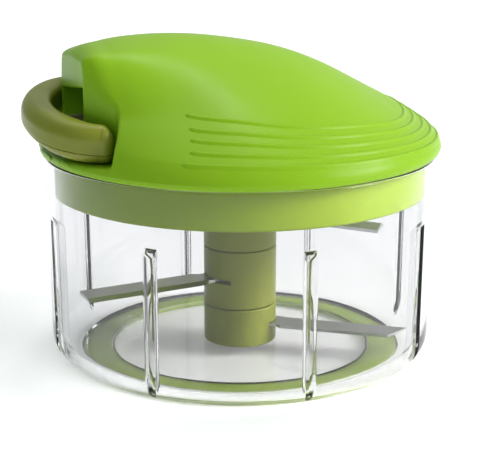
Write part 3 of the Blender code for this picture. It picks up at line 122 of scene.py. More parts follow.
# Inside the lid, as (radius, angle): posts for the cover's screws and ears for the housing's
POSTS = [(47.0, math.radians(45 + 90 * i)) for i in range(4)]
EARS = [(21.1, math.radians(60 + 120 * i)) for i in range(3)]
POST_R, POST_BORE, POST_BORE_TOP = 4.0, 1.7, 69.5
POST_FOOT_R, POST_FOOT_Z, POST_FOOT_TOP = 3.7, 59.5, 75.0
EAR_R, EAR_Z, EAR_BORE, EAR_BORE_TOP = 3.4, 91.1, 1.4, 93.9
BOSS_R, BOSS_Z, BOSS_BORE, BOSS_BORE_TOP = 5.2, 96.1, 2.3, 99.5
GUIDE_BORE, GUIDE_BACK, GUIDE_FRONT = 2.6, -50.5, -43.0
DOME_LOW, DOME_HIGH = (-66.5, -66.5, 58.6), (66.5, 66.5, 109.0)
COVER = [(7.2, 57.2, 0.4), (60.6, 57.2, 1.0), (60.6, 69.5, 0.3), (58.6, 69.5, 0.3),
         (58.6, 59.2, 0.8), (9.0, 59.2, 0.5), (9.0, 63.2, 0.4), (7.2, 63.2, 0.4)]

# Grip, drawn flat about the cord and then rolled: the C in plan is two half ellipses that end
# at GRIP_END, and the inner one is a little squarer at its ends
GRIP_ROLL = math.radians(8.3)
GRIP_END, GRIP_STEPS = -49.6, 45
GRIP_OUTER, GRIP_INNER = (21.6, 28.8), (12.0, 19.2)
GRIP_CORNER, GRIP_CORNER_FROM, GRIP_CORNER_RUN = 2.0, 0.7, 0.3
GRIP_INSET = 2.9
GRIP_BACK, GRIP_FRONT, GRIP_SIDE = -72.2, -49.2, 29.8
# its rounding above and below the middle, as the inner edge's and what the outer edge adds
GRIP_ROUND_ABOVE, GRIP_ROUND_BELOW = (2.8, 1.9), (2.2, 1.6)
GRIP_OUT_FROM, GRIP_OUT_RUN = 0.60, 0.38
GRIP_TOP, GRIP_BOTTOM, GRIP_END_DEEPER, GRIP_END_RUN = 5.75, 4.5, 1.7, 27.0
# height of the parting line, how far below it the two halves end, and their edges' rounding
GRIP_PART, GRIP_PART_GAPS, GRIP_PART_ROUND = -2.55, (0.05, 0.07), 0.04
# inside it: the knot's pocket, the cord's lane and the holes of the two screws
KNOT_HALF, KNOT_X, KNOT_HALF_X = 2.7, -64.5, 2.9
LANE_R, LANE_BACK = 1.4, -62.5
GRIP_SCREW_X, GRIP_SCREW_Y = -63.38, 14.0
GRIP_SCREW_HEAD, GRIP_SCREW_HEAD_Z, GRIP_SCREW_R, GRIP_SCREW_TOP = 2.5, -3.65, 1.5, 2.65

# Hubs: name, lowest and highest z, z and angle of the blade's slot, its reach to one side
HUBS = [("hub_low", 4.3, 17.1, 10.6, -35.0, 4.3),
        ("hub_middle", 17.3, 36.9, 26.5, -172.0, 8.7),
        ("hub_high", 37.1, 56.0, 48.5, -47.0, 4.3)]
HUB_R, HUB_BORE, HUB_ROUND, HUB_BOX, HUB_MARGIN = 12.1, 9.2, 0.6, 12.8, 0.7
BLADE_SLOT_SIDE, BLADE_SLOT_HALF, BLADE_SLOT_ROUND = 4.3, 0.62, 0.3

# Cord: its winding on the reel, and the run from the reel through the guide to the knot
WIND_R, WIND_Z, WIND_PITCH, WIND_TURNS, WIND_STEPS, WIND_CORD_R = 22.05, 80.75, 2.15, 2, 72, 1.08
LEAVE_R, GUIDE_FAR, CORD_BEND_X, CORD_END_X = 24.6, 48.2, -46.0, -61.9
LEAVE_STEPS, RUN_STEPS = 24, 160


# Small helpers for solids

def smooth(t):
    t = np.clip(t, 0, 1)
    return t * t * (3 - 2 * t)


def both(a, b, k):
    """Where two solids meet, with the edge between them rounded by about k."""
    h = np.maximum(k - np.abs(a - b), 0) / k
    return np.maximum(a, b) + h * h * k / 4


def curve_table(points):
    """A smooth curve through (x, value) points, as a fine table for np.interp."""
    xs = np.array([p[0] for p in points])
    vs = np.array([p[1] for p in points])
    slopes = [(vs[min(i + 1, len(xs) - 1)] - vs[max(i - 1, 0)])
              / (xs[min(i + 1, len(xs) - 1)] - xs[max(i - 1, 0)]) for i in range(len(xs))]
    fine = np.linspace(xs[0], xs[-1], 4001)
    at = np.clip(np.searchsorted(xs, fine, side="right") - 1, 0, len(xs) - 2)
    width = xs[at + 1] - xs[at]
    t = (fine - xs[at]) / width
    slopes = np.array(slopes)
    made = (vs[at] * (1 + 2 * t) * (1 - t) ** 2 + slopes[at] * width * t * (1 - t) ** 2
            + vs[at + 1] * t * t * (3 - 2 * t) + slopes[at + 1] * width * t * t * (t - 1))
    return fine, made


def outline_distance(x, y, points):
    """Signed distance to a closed outline, negative inside."""
    best = np.full(x.shape, 1e9)
    inside = np.zeros(x.shape, bool)
    count = len(points)
    for i in range(count):
        ax, ay = points[i]
        bx, by = points[(i + 1) % count]
        ex, ey = bx - ax, by - ay
        wx, wy = x - ax, y - ay
        t = np.clip((wx * ex + wy * ey) / (ex * ex + ey * ey), 0, 1)
        best = np.minimum(best, (wx - ex * t) ** 2 + (wy - ey * t) ** 2)
        if ay != by:
            inside ^= ((ay > y) != (by > y)) & (x < ax + wy * ex / ey)
    return np.where(inside, -1, 1) * np.sqrt(best)


# Finding a surface: half the distance over which a slope is measured, how often points move
# onto it, the least square of a slope, and the longest move as a share of the step
PROBE, PASSES, LEAST_SLOPE, LONGEST_MOVE = 0.03, 3, 0.05, 0.5


def skin(plan, solid, low, high, step):
    """Points, quads and normals of the surface of a solid given by a distance.

    plan(x, y) works out what depends on the place in plan alone, and
    solid(plan, z) gives the distance, negative inside.
    """
    axes = [np.arange(a, b + step, step) for a, b in zip(low, high)]
    gx, gy = np.meshgrid(axes[0], axes[1], indexing="ij")
    base = plan(gx, gy)
    values = np.stack([solid(base, z) for z in axes[2]], axis=2)
    inside = values < 0
    nx, ny, nz = values.shape
    count = np.zeros((nx - 1, ny - 1, nz - 1), np.int8)
    corners = [(i, j, k) for i in (0, 1) for j in (0, 1) for k in (0, 1)]
    for i, j, k in corners:
        count += inside[i:nx - 1 + i, j:ny - 1 + j, k:nz - 1 + k]
    active = (count > 0) & (count < 8)
    cells = np.argwhere(active)
    index = np.full(active.shape, -1, np.int32)
    index[active] = np.arange(len(cells))
    total, hits = np.zeros((len(cells), 3)), np.zeros(len(cells))
    for a in corners:
        for axis in range(3):
            if a[axis]:
                continue
            b = tuple(1 if n == axis else a[n] for n in range(3))
            va = values[tuple((cells + a).T)]
            vb = values[tuple((cells + b).T)]
            cross = (va < 0) != (vb < 0)
            t = np.where(cross, va / np.where(cross, va - vb, 1), 0)
            place = np.array(a, float)[None, :].repeat(len(cells), 0)
            place[:, axis] += t
            total += place * cross[:, None]
            hits += cross
    points = np.array([axes[n][0] for n in range(3)]) + (cells + total / hits[:, None]) * step

    quads = []
    for axis in range(3):
        u, v = (axis + 1) % 3, (axis + 2) % 3
        first = np.take(inside, range(0, inside.shape[axis] - 1), axis)
        second = np.take(inside, range(1, inside.shape[axis]), axis)
        edges = np.argwhere(first != second)
        kept = np.all([(edges[:, n] >= 1) & (edges[:, n] <= inside.shape[n] - 2)
                       for n in (u, v)], 0)
        edges = edges[kept]
        around = []
        for du, dv in ((-1, -1), (0, -1), (0, 0), (-1, 0)):
            cell = edges.copy()
            cell[:, u] += du
            cell[:, v] += dv
            around.append(index[tuple(cell.T)])
        four = np.stack(around, 1)
        solid_first = first[tuple(edges.T)]
        four[~solid_first] = four[~solid_first][:, ::-1]
        quads.append(four)
    quads = np.concatenate(quads)

    def value(p):
        return solid(plan(p[:, 0], p[:, 1]), p[:, 2])

    def distance_and_slope(p):
        parts = []
        here = plan(p[:, 0], p[:, 1])
        for axis in range(2):
            off = np.zeros(3)
            off[axis] = PROBE
            parts.append((value(p + off) - value(p - off)) / (2 * PROBE))
        parts.append((solid(here, p[:, 2] + PROBE) - solid(here, p[:, 2] - PROBE)) / (2 * PROBE))
        return solid(here, p[:, 2]), np.stack(parts, 1)

    for _ in range(PASSES):
        distance, slope = distance_and_slope(points)
        square = np.maximum((slope * slope).sum(1), LEAST_SLOPE)
        move = (distance / square)[:, None] * slope
        length = np.linalg.norm(move, axis=1)
        move *= np.minimum(1, LONGEST_MOVE * step / np.maximum(length, 1e-9))[:, None]
        points -= move
    _, slope = distance_and_slope(points)
    normals = slope / np.maximum(np.linalg.norm(slope, axis=1), 1e-9)[:, None]
    return points, quads, normals


def placed(points):
    """Points in millimetres about the bowl's axis, in metres in the frame."""
    made = np.array(points, float) * MM
    made[:, 0] += AXIS_X
    return made


def add_piece(name, points, faces, body, material, stands_for, normals=None, sharp=None):
    """A piece from points in the frame, riding on a body, or on none if it is to be blended."""
    mesh = bpy.data.meshes.new(name)
    if isinstance(faces, np.ndarray):
        mesh.vertices.add(len(points))
        mesh.vertices.foreach_set("co", np.asarray(points, np.float32).ravel())
        mesh.loops.add(faces.size)
        mesh.loops.foreach_set("vertex_index", faces.astype(np.int32).ravel())
        mesh.polygons.add(len(faces))
        mesh.polygons.foreach_set("loop_start", np.arange(0, faces.size, 4, dtype=np.int32))
        mesh.update(calc_edges=True)
    else:
        mesh.from_pydata([tuple(p) for p in points], [], faces)
    mesh.validate()
    mesh.shade_smooth()
    if sharp is not None:
        mesh.set_sharp_from_angle(angle=math.radians(sharp))
    if normals is not None:
        mesh.normals_split_custom_set_from_vertices([tuple(n) for n in normals])
    made = bpy.data.objects.new(name, mesh)
    bpy.context.scene.collection.objects.link(made)
    mesh.materials.append(material)
    if body:
        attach(made, body)
    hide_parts(*stands_for)
    return made


def rounded(profile, steps=4):
    """A profile of (r, z, rounding) points with its corners rounded."""
    made = []
    count = len(profile)
    for i, (r, z, amount) in enumerate(profile):
        if amount == 0:
            made.append((r, z))
            continue
        here = Vector((r, z))
        before = Vector(profile[i - 1][:2]) - here
        after = Vector(profile[(i + 1) % count][:2]) - here
        a, b = here + before.normalized() * amount, here + after.normalized() * amount
        for s in range(steps + 1):
            t = s / steps
            made.append(tuple(a * (1 - t) ** 2 + here * 2 * t * (1 - t) + b * t * t))
    return made


def turned(profile, steps):
    """Points and faces of a closed profile, drawn anticlockwise, turned about the axis."""
    points, faces = [], []
    for k, (r, z) in enumerate(profile):
        low, high = k * steps, (k + 1) % len(profile) * steps
        for i in range(steps):
            a = 2 * math.pi * i / steps
            points.append((r * math.cos(a), r * math.sin(a), z))
            j = (i + 1) % steps
            faces.append((low + i, low + j, high + j, high + i))
    return points, faces


# Materials

def node(tree, kind, **values):
    """A shader node; each value goes to the input of that name, or else to the setting."""
    made = tree.nodes.new("ShaderNode" + kind)
    for key, value in values.items():
        if key in made.inputs:
            made.inputs[key].default_value = value
        else:
            setattr(made, key, value)
    return made


def start_material(name):
    """A material, its tree and shader, and the place on the object as texture coordinates."""
    made = bpy.data.materials.new(name)
    made.use_nodes = True
    tree = made.node_tree
    shader = tree.nodes["Principled BSDF"]
    place = tree.nodes.new("ShaderNodeTexCoord")
    return made, tree, shader, place.outputs["Object"]


def noise(tree, place, scale, detail=2.0, stretch=None, rough=0.5):
    made = node(tree, "TexNoise", Scale=scale, Detail=detail, Roughness=rough)
    if stretch:
        turn = node(tree, "Mapping")
        turn.inputs["Scale"].default_value = stretch
        tree.links.new(place, turn.inputs["Vector"])
        place = turn.outputs["Vector"]
    tree.links.new(place, made.inputs["Vector"])
    return made.outputs["Fac"]


def ranged(tree, source, low, high, new_low, new_high):
    """A value mapped from one range to another."""
    made = tree.nodes.new("ShaderNodeMapRange")
    made.inputs["From Min"].default_value = low
    made.inputs["From Max"].default_value = high
    made.inputs["To Min"].default_value = new_low
    made.inputs["To Max"].default_value = new_high
    tree.links.new(source, made.inputs["Value"])
    return made.outputs["Result"]


def mixed(tree, share, first, second):
    """Two colours, or outputs that give a colour, mixed by a share."""
    made = tree.nodes.new("ShaderNodeMix")
    made.data_type = "RGBA"
    tree.links.new(share, made.inputs["Factor"])
    for socket, value in ((made.inputs["A"], first), (made.inputs["B"], second)):
        if isinstance(value, tuple):
            socket.default_value = (*value, 1)
        else:
            tree.links.new(value, socket)
    return made.outputs["Result"]


def bumped(tree, shader, height, strength, distance):
    made = node(tree, "Bump", Strength=strength, Distance=distance)
    tree.links.new(height, made.inputs["Height"])
    tree.links.new(made.outputs["Normal"], shader.inputs["Normal"])


def shade(colour, amount):
    return tuple(min(1.0, c * amount) for c in colour)


def plastic(name, colour, roughness, grain=0.00003, spread=0.06, wear=1.25, level=0.4):
    """Moulded plastic: cloudy colour, fine texture, smudges and edges rubbed lighter."""
    made, tree, shader, place = start_material(name)
    cloud = noise(tree, place, scale=22, detail=4)
    tint = mixed(tree, cloud, shade(colour, 1 - spread), shade(colour, 1 + spread))
    shape = tree.nodes.new("ShaderNodeNewGeometry")
    edge = ranged(tree, shape.outputs["Pointiness"], 0.52, 0.62, 0, 0.55)
    scuff = node(tree, "Math", operation="MULTIPLY")
    tree.links.new(edge, scuff.inputs[0])
    tree.links.new(noise(tree, place, scale=260, detail=3), scuff.inputs[1])
    tint = mixed(tree, scuff.outputs[0], tint, shade(colour, wear))
    tree.links.new(tint, shader.inputs["Base Color"])
    smudge = noise(tree, place, scale=60, detail=5, rough=0.6)
    tree.links.new(ranged(tree, smudge, 0.3, 0.7, roughness - 0.05, roughness + 0.07),
                   shader.inputs["Roughness"])
    bumped(tree, shader, noise(tree, place, scale=2600, detail=2), strength=0.35, distance=grain)
    shader.inputs["IOR"].default_value = 1.49
    shader.inputs["Specular IOR Level"].default_value = level
    return made


def metal(name, colour, roughness, stretch=(40, 1400, 1400), depth=0.000012, streak=0.085):
    """Ground or drawn metal: fine lines and faint stains."""
    made, tree, shader, place = start_material(name)
    lines = noise(tree, place, scale=1.0, detail=6, stretch=stretch, rough=0.7)
    stain = noise(tree, place, scale=70, detail=4)
    tint = mixed(tree, stain, shade(colour, 0.88), shade(colour, 1.06))
    tree.links.new(tint, shader.inputs["Base Color"])
    shader.inputs["Metallic"].default_value = 1.0
    tree.links.new(ranged(tree, lines, 0.3, 0.7, roughness - streak, roughness + streak),
                   shader.inputs["Roughness"])
    bumped(tree, shader, lines, strength=0.4, distance=depth)
    return made


def fabric(name, colour):
    """Braided cord: two crossing sets of strands, with painted shade in the gaps between them."""
    made, tree, shader, place = start_material(name)
    bands = []
    for turn in (0.7, -0.7):
        lay = node(tree, "Mapping")
        lay.inputs["Rotation"].default_value = (turn, 0, turn)
        tree.links.new(place, lay.inputs["Vector"])
        wave = node(tree, "TexWave", Scale=420.0, Distortion=1.2, Detail=1.0)
        tree.links.new(lay.outputs["Vector"], wave.inputs["Vector"])
        bands.append(wave.outputs["Fac"])
    weave = node(tree, "Math", operation="MAXIMUM")
    tree.links.new(bands[0], weave.inputs[0])
    tree.links.new(bands[1], weave.inputs[1])
    # painted shade: the gaps between the strands, where they dip, are coloured darker
    tint = mixed(tree, weave.outputs[0], shade(colour, 0.45), shade(colour, 1.15))
    tree.links.new(tint, shader.inputs["Base Color"])
    tree.links.new(ranged(tree, weave.outputs[0], 0, 1, 0.95, 0.75), shader.inputs["Roughness"])
    bumped(tree, shader, weave.outputs[0], strength=0.9, distance=0.00012)
    shader.inputs["Sheen Weight"].default_value = 0.3
    return made


def clear(name):
    """Clear plastic with faint flow lines and wiped smears."""
    made, tree, shader, place = start_material(name)
    shader.inputs["Base Color"].default_value = (0.84, 0.84, 0.848, 1)
    shader.inputs["Transmission Weight"].default_value = 1.0
    shader.inputs["IOR"].default_value = 1.37
    shader.inputs["Specular IOR Level"].default_value = 0.25
    smear = noise(tree, place, scale=34, detail=5, stretch=(1, 1, 0.35), rough=0.65)
    tree.links.new(ranged(tree, smear, 0.35, 0.75, 0.0, 0.05), shader.inputs["Roughness"])
    ripple = noise(tree, place, scale=26, detail=2, stretch=(1, 1, 0.4))
    bumped(tree, shader, ripple, strength=0.08, distance=0.0004)
    return made


LID_GREEN = plastic("lid_green", (0.235, 0.44, 0.012), 0.34, grain=0.00001, spread=0.03,
                    level=0.16)
PALE_GREEN = plastic("pale_green", (0.365, 0.52, 0.016), 0.33, spread=0.04, level=0.2)
SOFT_GREEN = plastic("soft_green", (0.30, 0.42, 0.04), 0.62, grain=0.00006, spread=0.05)
OLIVE = plastic("olive_plastic", (0.212, 0.235, 0.022), 0.32, grain=0.00002, spread=0.05,
                wear=1.3, level=0.3)
WHITE = plastic("white_plastic", (0.74, 0.74, 0.70), 0.38, spread=0.03)
CORD = fabric("cord_fabric", (0.16, 0.17, 0.05))
BLADE = metal("blade_steel", (0.50, 0.50, 0.485), 0.30, depth=0.0000015, streak=0.03)
STEEL = metal("steel", (0.52, 0.52, 0.50), 0.30, stretch=(700, 700, 90))
BRASS = metal("bush_brass", (0.62, 0.45, 0.17), 0.30, stretch=(700, 700, 90))
CLEAR = clear("clear_plastic")


# Dome

CROWN_TABLE, SPINE_TABLE, FLAT_TABLE, BEND_TABLE, FOOT_TABLE = [
    curve_table(points) for points in (CROWN, SPINE, FLAT_TOP, RIDGE_BEND, SPINE_FOOT)]
RECESS_LOOP = RECESS + [(x, -y) for x, y in RECESS[::-1]]


def dome_height(x, y):
    """Height of the dome's top: a crown that falls to both sides, with the spine on it."""
    xs = np.clip(x / EDGE_R, -1, 1)
    ys = np.abs(y) / EDGE_R
    width = np.sqrt(np.maximum(1 - xs * xs, 1e-4))
    side = np.minimum(ys / width, FALL_LIMIT)
    side = (np.hypot(side, CREST) - CREST) / (math.hypot(1, CREST) - CREST)
    fall = 1 - side ** FALL_POWER
    fall = np.sign(fall) * np.abs(fall) ** FALL_BEND
    crown = np.interp(xs, *CROWN_TABLE)
    spine = np.minimum(crown, np.interp(xs, *SPINE_TABLE))
    foot = np.interp(x, *FOOT_TABLE)
    across = smooth((foot - ys * EDGE_R) / (foot - SPINE_FLAT)) ** SPINE_POWER
    high = (crown - spine) * fall + spine * across
    high = high + (crown - high) * across * np.interp(xs, *FLAT_TABLE)
    drop = (FAR_SIDE_DROP * np.clip(y - FAR_SIDE_Y, 0, FAR_SIDE_WIDTH)
            * smooth((FAR_SIDE_X - x) / FAR_SIDE_RUN) * across)
    return EDGE_Z + (CROWN_Z - EDGE_Z) * high - drop


def nearest(x, y, places):
    """Distance in plan to the nearest of some places given as (radius, angle)."""
    return np.min([np.hypot(x - r * math.cos(a), y - r * math.sin(a)) for r, a in places], axis=0)


def dome_plan(x, y):
    """What the dome's solid takes from the place in plan: heights, ridges and distances."""
    e = 0.05
    high = dome_height(x, y)
    hx = (dome_height(x + e, y) - dome_height(x - e, y)) / (2 * e)
    hy = (dome_height(x, y + e) - dome_height(x, y - e)) / (2 * e)
    rise = np.sqrt(hx * hx + hy * hy)
    slant = np.sqrt(1 + rise * rise)
    r = np.hypot(x, y)
    angle = np.abs(np.degrees(np.arctan2(y, x)))
    lift = np.zeros(x.shape)
    bend = np.interp(angle, *BEND_TABLE)
    for radius, growth, end in RIDGES:
        along = (r - radius - growth * bend) * slant
        reach = np.where(along > 0, RIDGE_OUT, RIDGE_IN)
        # the end of a ridge is round: its width runs out with its height
        taper = np.sqrt(np.clip((end - angle) / RIDGE_TAPER, 0, 1))
        share = np.clip(1 - (along / reach / np.maximum(taper, RIDGE_LEAST_TAPER)) ** 2, 0, 1)
        lift = lift + RIDGE_HEIGHT * taper * share ** RIDGE_POWER
    recess = outline_distance(x, y, RECESS_LOOP)
    slot = np.maximum(np.abs(y) - SLOT_HALF, x - SLOT_BACK)
    return dict(high=high, slant=slant, lift=lift, r=r, recess=recess, slot=slot,
                post=nearest(x, y, POSTS), ear=nearest(x, y, EARS), x=x, y=y)


def dome_solid(p, z):
    """The dome as a shell, with its recess and slot, the posts, ears and boss inside, their
    bores and the cord's way out."""
    top = (z - p["high"]) / p["slant"]
    side = p["r"] - np.interp(z, SIDE_Z, SIDE_R)
    smooth_top = both(top, side, RIM_ROUND)
    outer = smooth_top - p["lift"]
    ledge = LEDGE_Z - z
    roof = z - SLOT_TOP - SLOT_TILT * p["y"]
    recess = both(p["recess"], ledge, RECESS_FLOOR_ROUND)
    slot = both(p["slot"], both(ledge, roof, SLOT_ROOF_ROUND), SLOT_CORNER_ROUND)
    body = both(outer, LID_LOW_Z - z, LOW_EDGE_ROUND)
    body = both(body, -recess, RECESS_EDGE_ROUND)
    body = both(body, -slot, SLOT_EDGE_ROUND)

    room = np.maximum(smooth_top + WALL, p["r"] - (EDGE_R - ROOM_INSET))
    room = both(room, WALL - recess, ROOM_ROUND)
    room = both(room, WALL - slot, ROOM_ROUND)
    room = np.maximum(room, POST_R - p["post"])
    room = np.maximum(room, np.minimum(EAR_R - p["ear"], z - EAR_Z))
    room = np.maximum(room, np.minimum(BOSS_R - p["r"], z - BOSS_Z))
    body = both(body, -room, ROOM_EDGE_ROUND)

    foot = np.maximum(p["post"] - POST_FOOT_R, np.maximum(POST_FOOT_Z - z, z - POST_FOOT_TOP))
    body = np.minimum(body, foot)
    for away, bore, top in ((p["post"], POST_BORE, POST_BORE_TOP),
                            (p["ear"], EAR_BORE, EAR_BORE_TOP),
                            (p["r"], BOSS_BORE, BOSS_BORE_TOP)):
        body = np.maximum(body, -np.maximum(away - bore, z - top))
    guide = np.hypot(p["y"], z - CORD_Z) - GUIDE_BORE
    guide = np.maximum(guide, np.maximum(GUIDE_BACK - p["x"], p["x"] - GUIDE_FRONT))
    return np.maximum(body, -guide)


dome_step = 0.4
dome = skin(dome_plan, dome_solid, DOME_LOW, DOME_HIGH, dome_step)
add_piece("lid_dome_skin", placed(dome[0]), dome[1], "lid", LID_GREEN,
          ["lid_dome"], normals=dome[2])


# Grip

def grip_outline(inset):
    """Plan of the C-shaped grip, drawn in by an inset so that it can be rounded out again."""
    outer, inner = [], []
    for i in range(-GRIP_STEPS, GRIP_STEPS + 1):
        a = math.radians(90 * i / GRIP_STEPS)
        squarer = float(smooth((abs(math.sin(a)) - GRIP_CORNER_FROM) / GRIP_CORNER_RUN))
        outer.append((GRIP_END - GRIP_OUTER[0] * math.cos(a), GRIP_OUTER[1] * math.sin(a)))
        inner.append((GRIP_END - GRIP_INNER[0] * math.cos(a),
                      (GRIP_INNER[1] + GRIP_CORNER * squarer) * math.sin(a)))
    made = []
    for line in (outer, inner[::-1]):
        line = np.array(line)
        run = np.gradient(line, axis=0)
        run /= np.linalg.norm(run, axis=1)[:, None]
        moved = line + inset * np.stack([run[:, 1], -run[:, 0]], 1)
        moved[:, 0] = np.minimum(moved[:, 0], GRIP_END - inset)
        made += [tuple(place) for place in moved]
    return made


GRIP_LOOP = grip_outline(GRIP_INSET)


def grip_plan(x, y):
    flat = outline_distance(x, y, GRIP_LOOP) - GRIP_INSET
    # 0 along the inner edge of the C, 1 along its outer edge
    reach = np.hypot((x - GRIP_END) / GRIP_OUTER[0], y / GRIP_OUTER[1])
    out = smooth((reach - GRIP_OUT_FROM) / GRIP_OUT_RUN)
    return dict(flat=flat, out=out, end=smooth(np.abs(y) / GRIP_END_RUN), x=x, y=y,
                screw=np.hypot(x - GRIP_SCREW_X, np.abs(y) - GRIP_SCREW_Y))


def grip_solid(p, z):
    """The whole grip: rounded in section, with a pocket for the knot, a lane for the cord
    and the holes of the two screws."""
    amount = np.where(z > 0, GRIP_ROUND_ABOVE[0] + GRIP_ROUND_ABOVE[1] * p["out"],
                      GRIP_ROUND_BELOW[0] + GRIP_ROUND_BELOW[1] * p["out"])
    across = p["flat"] + amount
    upright = np.where(z > 0, z - GRIP_TOP, -z - GRIP_BOTTOM - GRIP_END_DEEPER * p["end"]) + amount
    body = (np.hypot(np.maximum(across, 0), np.maximum(upright, 0))
            + np.minimum(np.maximum(across, upright), 0) - amount)
    pocket = np.maximum(np.maximum(np.abs(p["y"]), np.abs(z)) - KNOT_HALF,
                        np.abs(p["x"] - KNOT_X) - KNOT_HALF_X)
    lane = np.maximum(np.hypot(p["y"], z) - LANE_R, LANE_BACK - p["x"])
    body = np.maximum(body, -np.minimum(pocket, lane))
    sink = np.minimum(np.maximum(p["screw"] - GRIP_SCREW_HEAD, z - GRIP_SCREW_HEAD_Z),
                      np.maximum(p["screw"] - GRIP_SCREW_R, z - GRIP_SCREW_TOP))
    return np.maximum(body, -sink)


def grip_upper(p, z):
    return both(grip_solid(p, z), GRIP_PART - GRIP_PART_GAPS[0] - z, GRIP_PART_ROUND)


def grip_lower(p, z):
    return both(grip_solid(p, z), z - GRIP_PART + GRIP_PART_GAPS[1], GRIP_PART_ROUND)


def rolled(points):
    c, s = math.cos(GRIP_ROLL), math.sin(GRIP_ROLL)
    return points @ np.array([[1, 0, 0], [0, c, s], [0, -s, c]])


grip_step = 0.35
for name, stands_for, solid, low_z, high_z in (
        ("grip_upper_skin", "handle_upper", grip_upper, -3.4, 6.9),
        ("grip_lower_skin", "handle_lower", grip_lower, -6.9, -2.0)):
    made = skin(grip_plan, solid, (GRIP_BACK, -GRIP_SIDE, low_z), (GRIP_FRONT, GRIP_SIDE, high_z),
                grip_step)
    points = rolled(made[0]) + np.array([0, 0, CORD_Z])
    add_piece(name, placed(points), made[1], "handle", OLIVE, [stands_for],
              normals=rolled(made[2]))


# Bowl

def bowl_columns():
    """Angles round the bowl, close together at the grooves."""
    sector = 2 * math.pi / GROOVES
    near = GROOVE_NEAR / BOWL_RIM_R
    columns = []
    for k in range(GROOVES):
        middle = GROOVE_FIRST + k * sector
        columns += [middle - near + 2 * near * i / GROOVE_COLUMNS for i in range(GROOVE_COLUMNS)]
        columns += [middle + near + (sector - 2 * near) * i / PLAIN_COLUMNS
                    for i in range(PLAIN_COLUMNS)]
    return np.array(columns)


def groove_share(angle, half):
    """Share of a groove's depth at an angle: 1 on its flat bottom, 0 beyond its half width."""
    sector = 2 * math.pi / GROOVES
    off = (angle - GROOVE_FIRST + sector / 2) % sector - sector / 2
    return np.clip((half - np.abs(off) * BOWL_RIM_R) / (half - GROOVE_FLAT_HALF), 0, 1)


def wall_radius(z):
    return BOWL_FOOT_R + (BOWL_RIM_R - BOWL_FOOT_R) * z / BOWL_RIM_Z


def bowl_profile():
    """Rows of (r, z, side): side is 1 outside, -1 inside, 0 where no groove reaches."""
    rows = [(0.0, BOWL_UNDER_Z, 0), (UNDER_ROW_R, BOWL_UNDER_Z, 0)]
    rows += [(r, z, 0) for r, z in rounded(RING_CHANNEL, steps=2)]
    foot = wall_radius(BOWL_UNDER_Z + BOWL_CORNER)
    for i in range(CORNER_STEPS + 1):
        a = math.pi / 2 * i / CORNER_STEPS
        rows.append((foot - BOWL_CORNER + BOWL_CORNER * math.sin(a),
                     BOWL_UNDER_Z + BOWL_CORNER * (1 - math.cos(a)), 1))
    rows += [(wall_radius(z), z, 1) for z in WALL_LEVELS]
    quarter = [math.pi / 2 * i / RIM_STEPS for i in range(RIM_STEPS + 1)]
    k, top = BOWL_RIM_OUTSIDE, BOWL_RIM_R
    rows += [(top - k + k * math.cos(a), BOWL_RIM_Z - k + k * math.sin(a), 0) for a in quarter]
    k, top = BOWL_RIM_INSIDE, BOWL_RIM_R - BOWL_WALL
    rows += [(top + k - k * math.sin(a), BOWL_RIM_Z - k + k * math.cos(a), 0) for a in quarter]
    rows += [(wall_radius(z) - BOWL_WALL, z, -1) for z in WALL_LEVELS[::-1]]
    corner = BOWL_CORNER_INSIDE
    foot_in = foot - BOWL_WALL
    for i in range(CORNER_STEPS + 1):
        a = math.pi / 2 * (1 - i / CORNER_STEPS)
        rows.append((foot_in - corner + corner * math.sin(a),
                     BOWL_FLOOR_Z + corner * (1 - math.cos(a)), -1))
    rows += [(FLOOR_ROW_R, BOWL_FLOOR_Z, 0)]
    rows += [(r, z, 0) for r, z in rounded(PIN_BOSS, steps=3)]
    rows += [(0.0, PIN_HOLE_Z, 0)]
    return rows


def bowl_mesh():
    """The bowl's rows set round the axis, with the grooves pressed into its wall."""
    angles = bowl_columns()
    count = len(angles)
    points, rings = [], []
    for r, z, side in bowl_profile():
        if r == 0:
            rings.append([len(points)] * count)
            points.append((0, 0, z))
            continue
        radius = np.full(count, r)
        if side:
            higher, wider, wall = ((0, 0, 0) if side > 0 else
                                   (GROOVE_INSIDE_HIGHER, GROOVE_INSIDE_WIDER, BOWL_WALL))
            facet = float(np.clip((GROOVE_TOP + higher - z) / GROOVE_FACET, 0, 1))
            share = np.minimum(facet, groove_share(angles, GROOVE_HALF + wider))
            radius = np.minimum(radius, wall_radius(z) - wall - GROOVE_DEPTH * share)
        rings.append(list(range(len(points), len(points) + count)))
        points += [(a * math.cos(t), a * math.sin(t), z) for a, t in zip(radius, angles)]
    faces = []
    for low, high in zip(rings[:-1], rings[1:]):
        for i in range(count):
            j = (i + 1) % count
            faces.append(tuple(dict.fromkeys((low[i], low[j], high[j], high[i]))))
    return points, faces


points, faces = bowl_mesh()
bowl = add_piece("bowl_clear", placed(points), faces, "bowl", CLEAR, ["bowl"],
                 sharp=60)
bowl.visible_shadow = False

points, faces = turned(rounded(BASE_RING), steps=192)
add_piece("base_ring_soft", placed(points), faces, "bowl", SOFT_GREEN, ["base_ring"])

points, faces = turned(rounded(COVER), steps=256)
add_piece("lid_cover_cup", placed(points), faces, "lid", PALE_GREEN, ["lid_cover"])


# Hubs of the blade tower

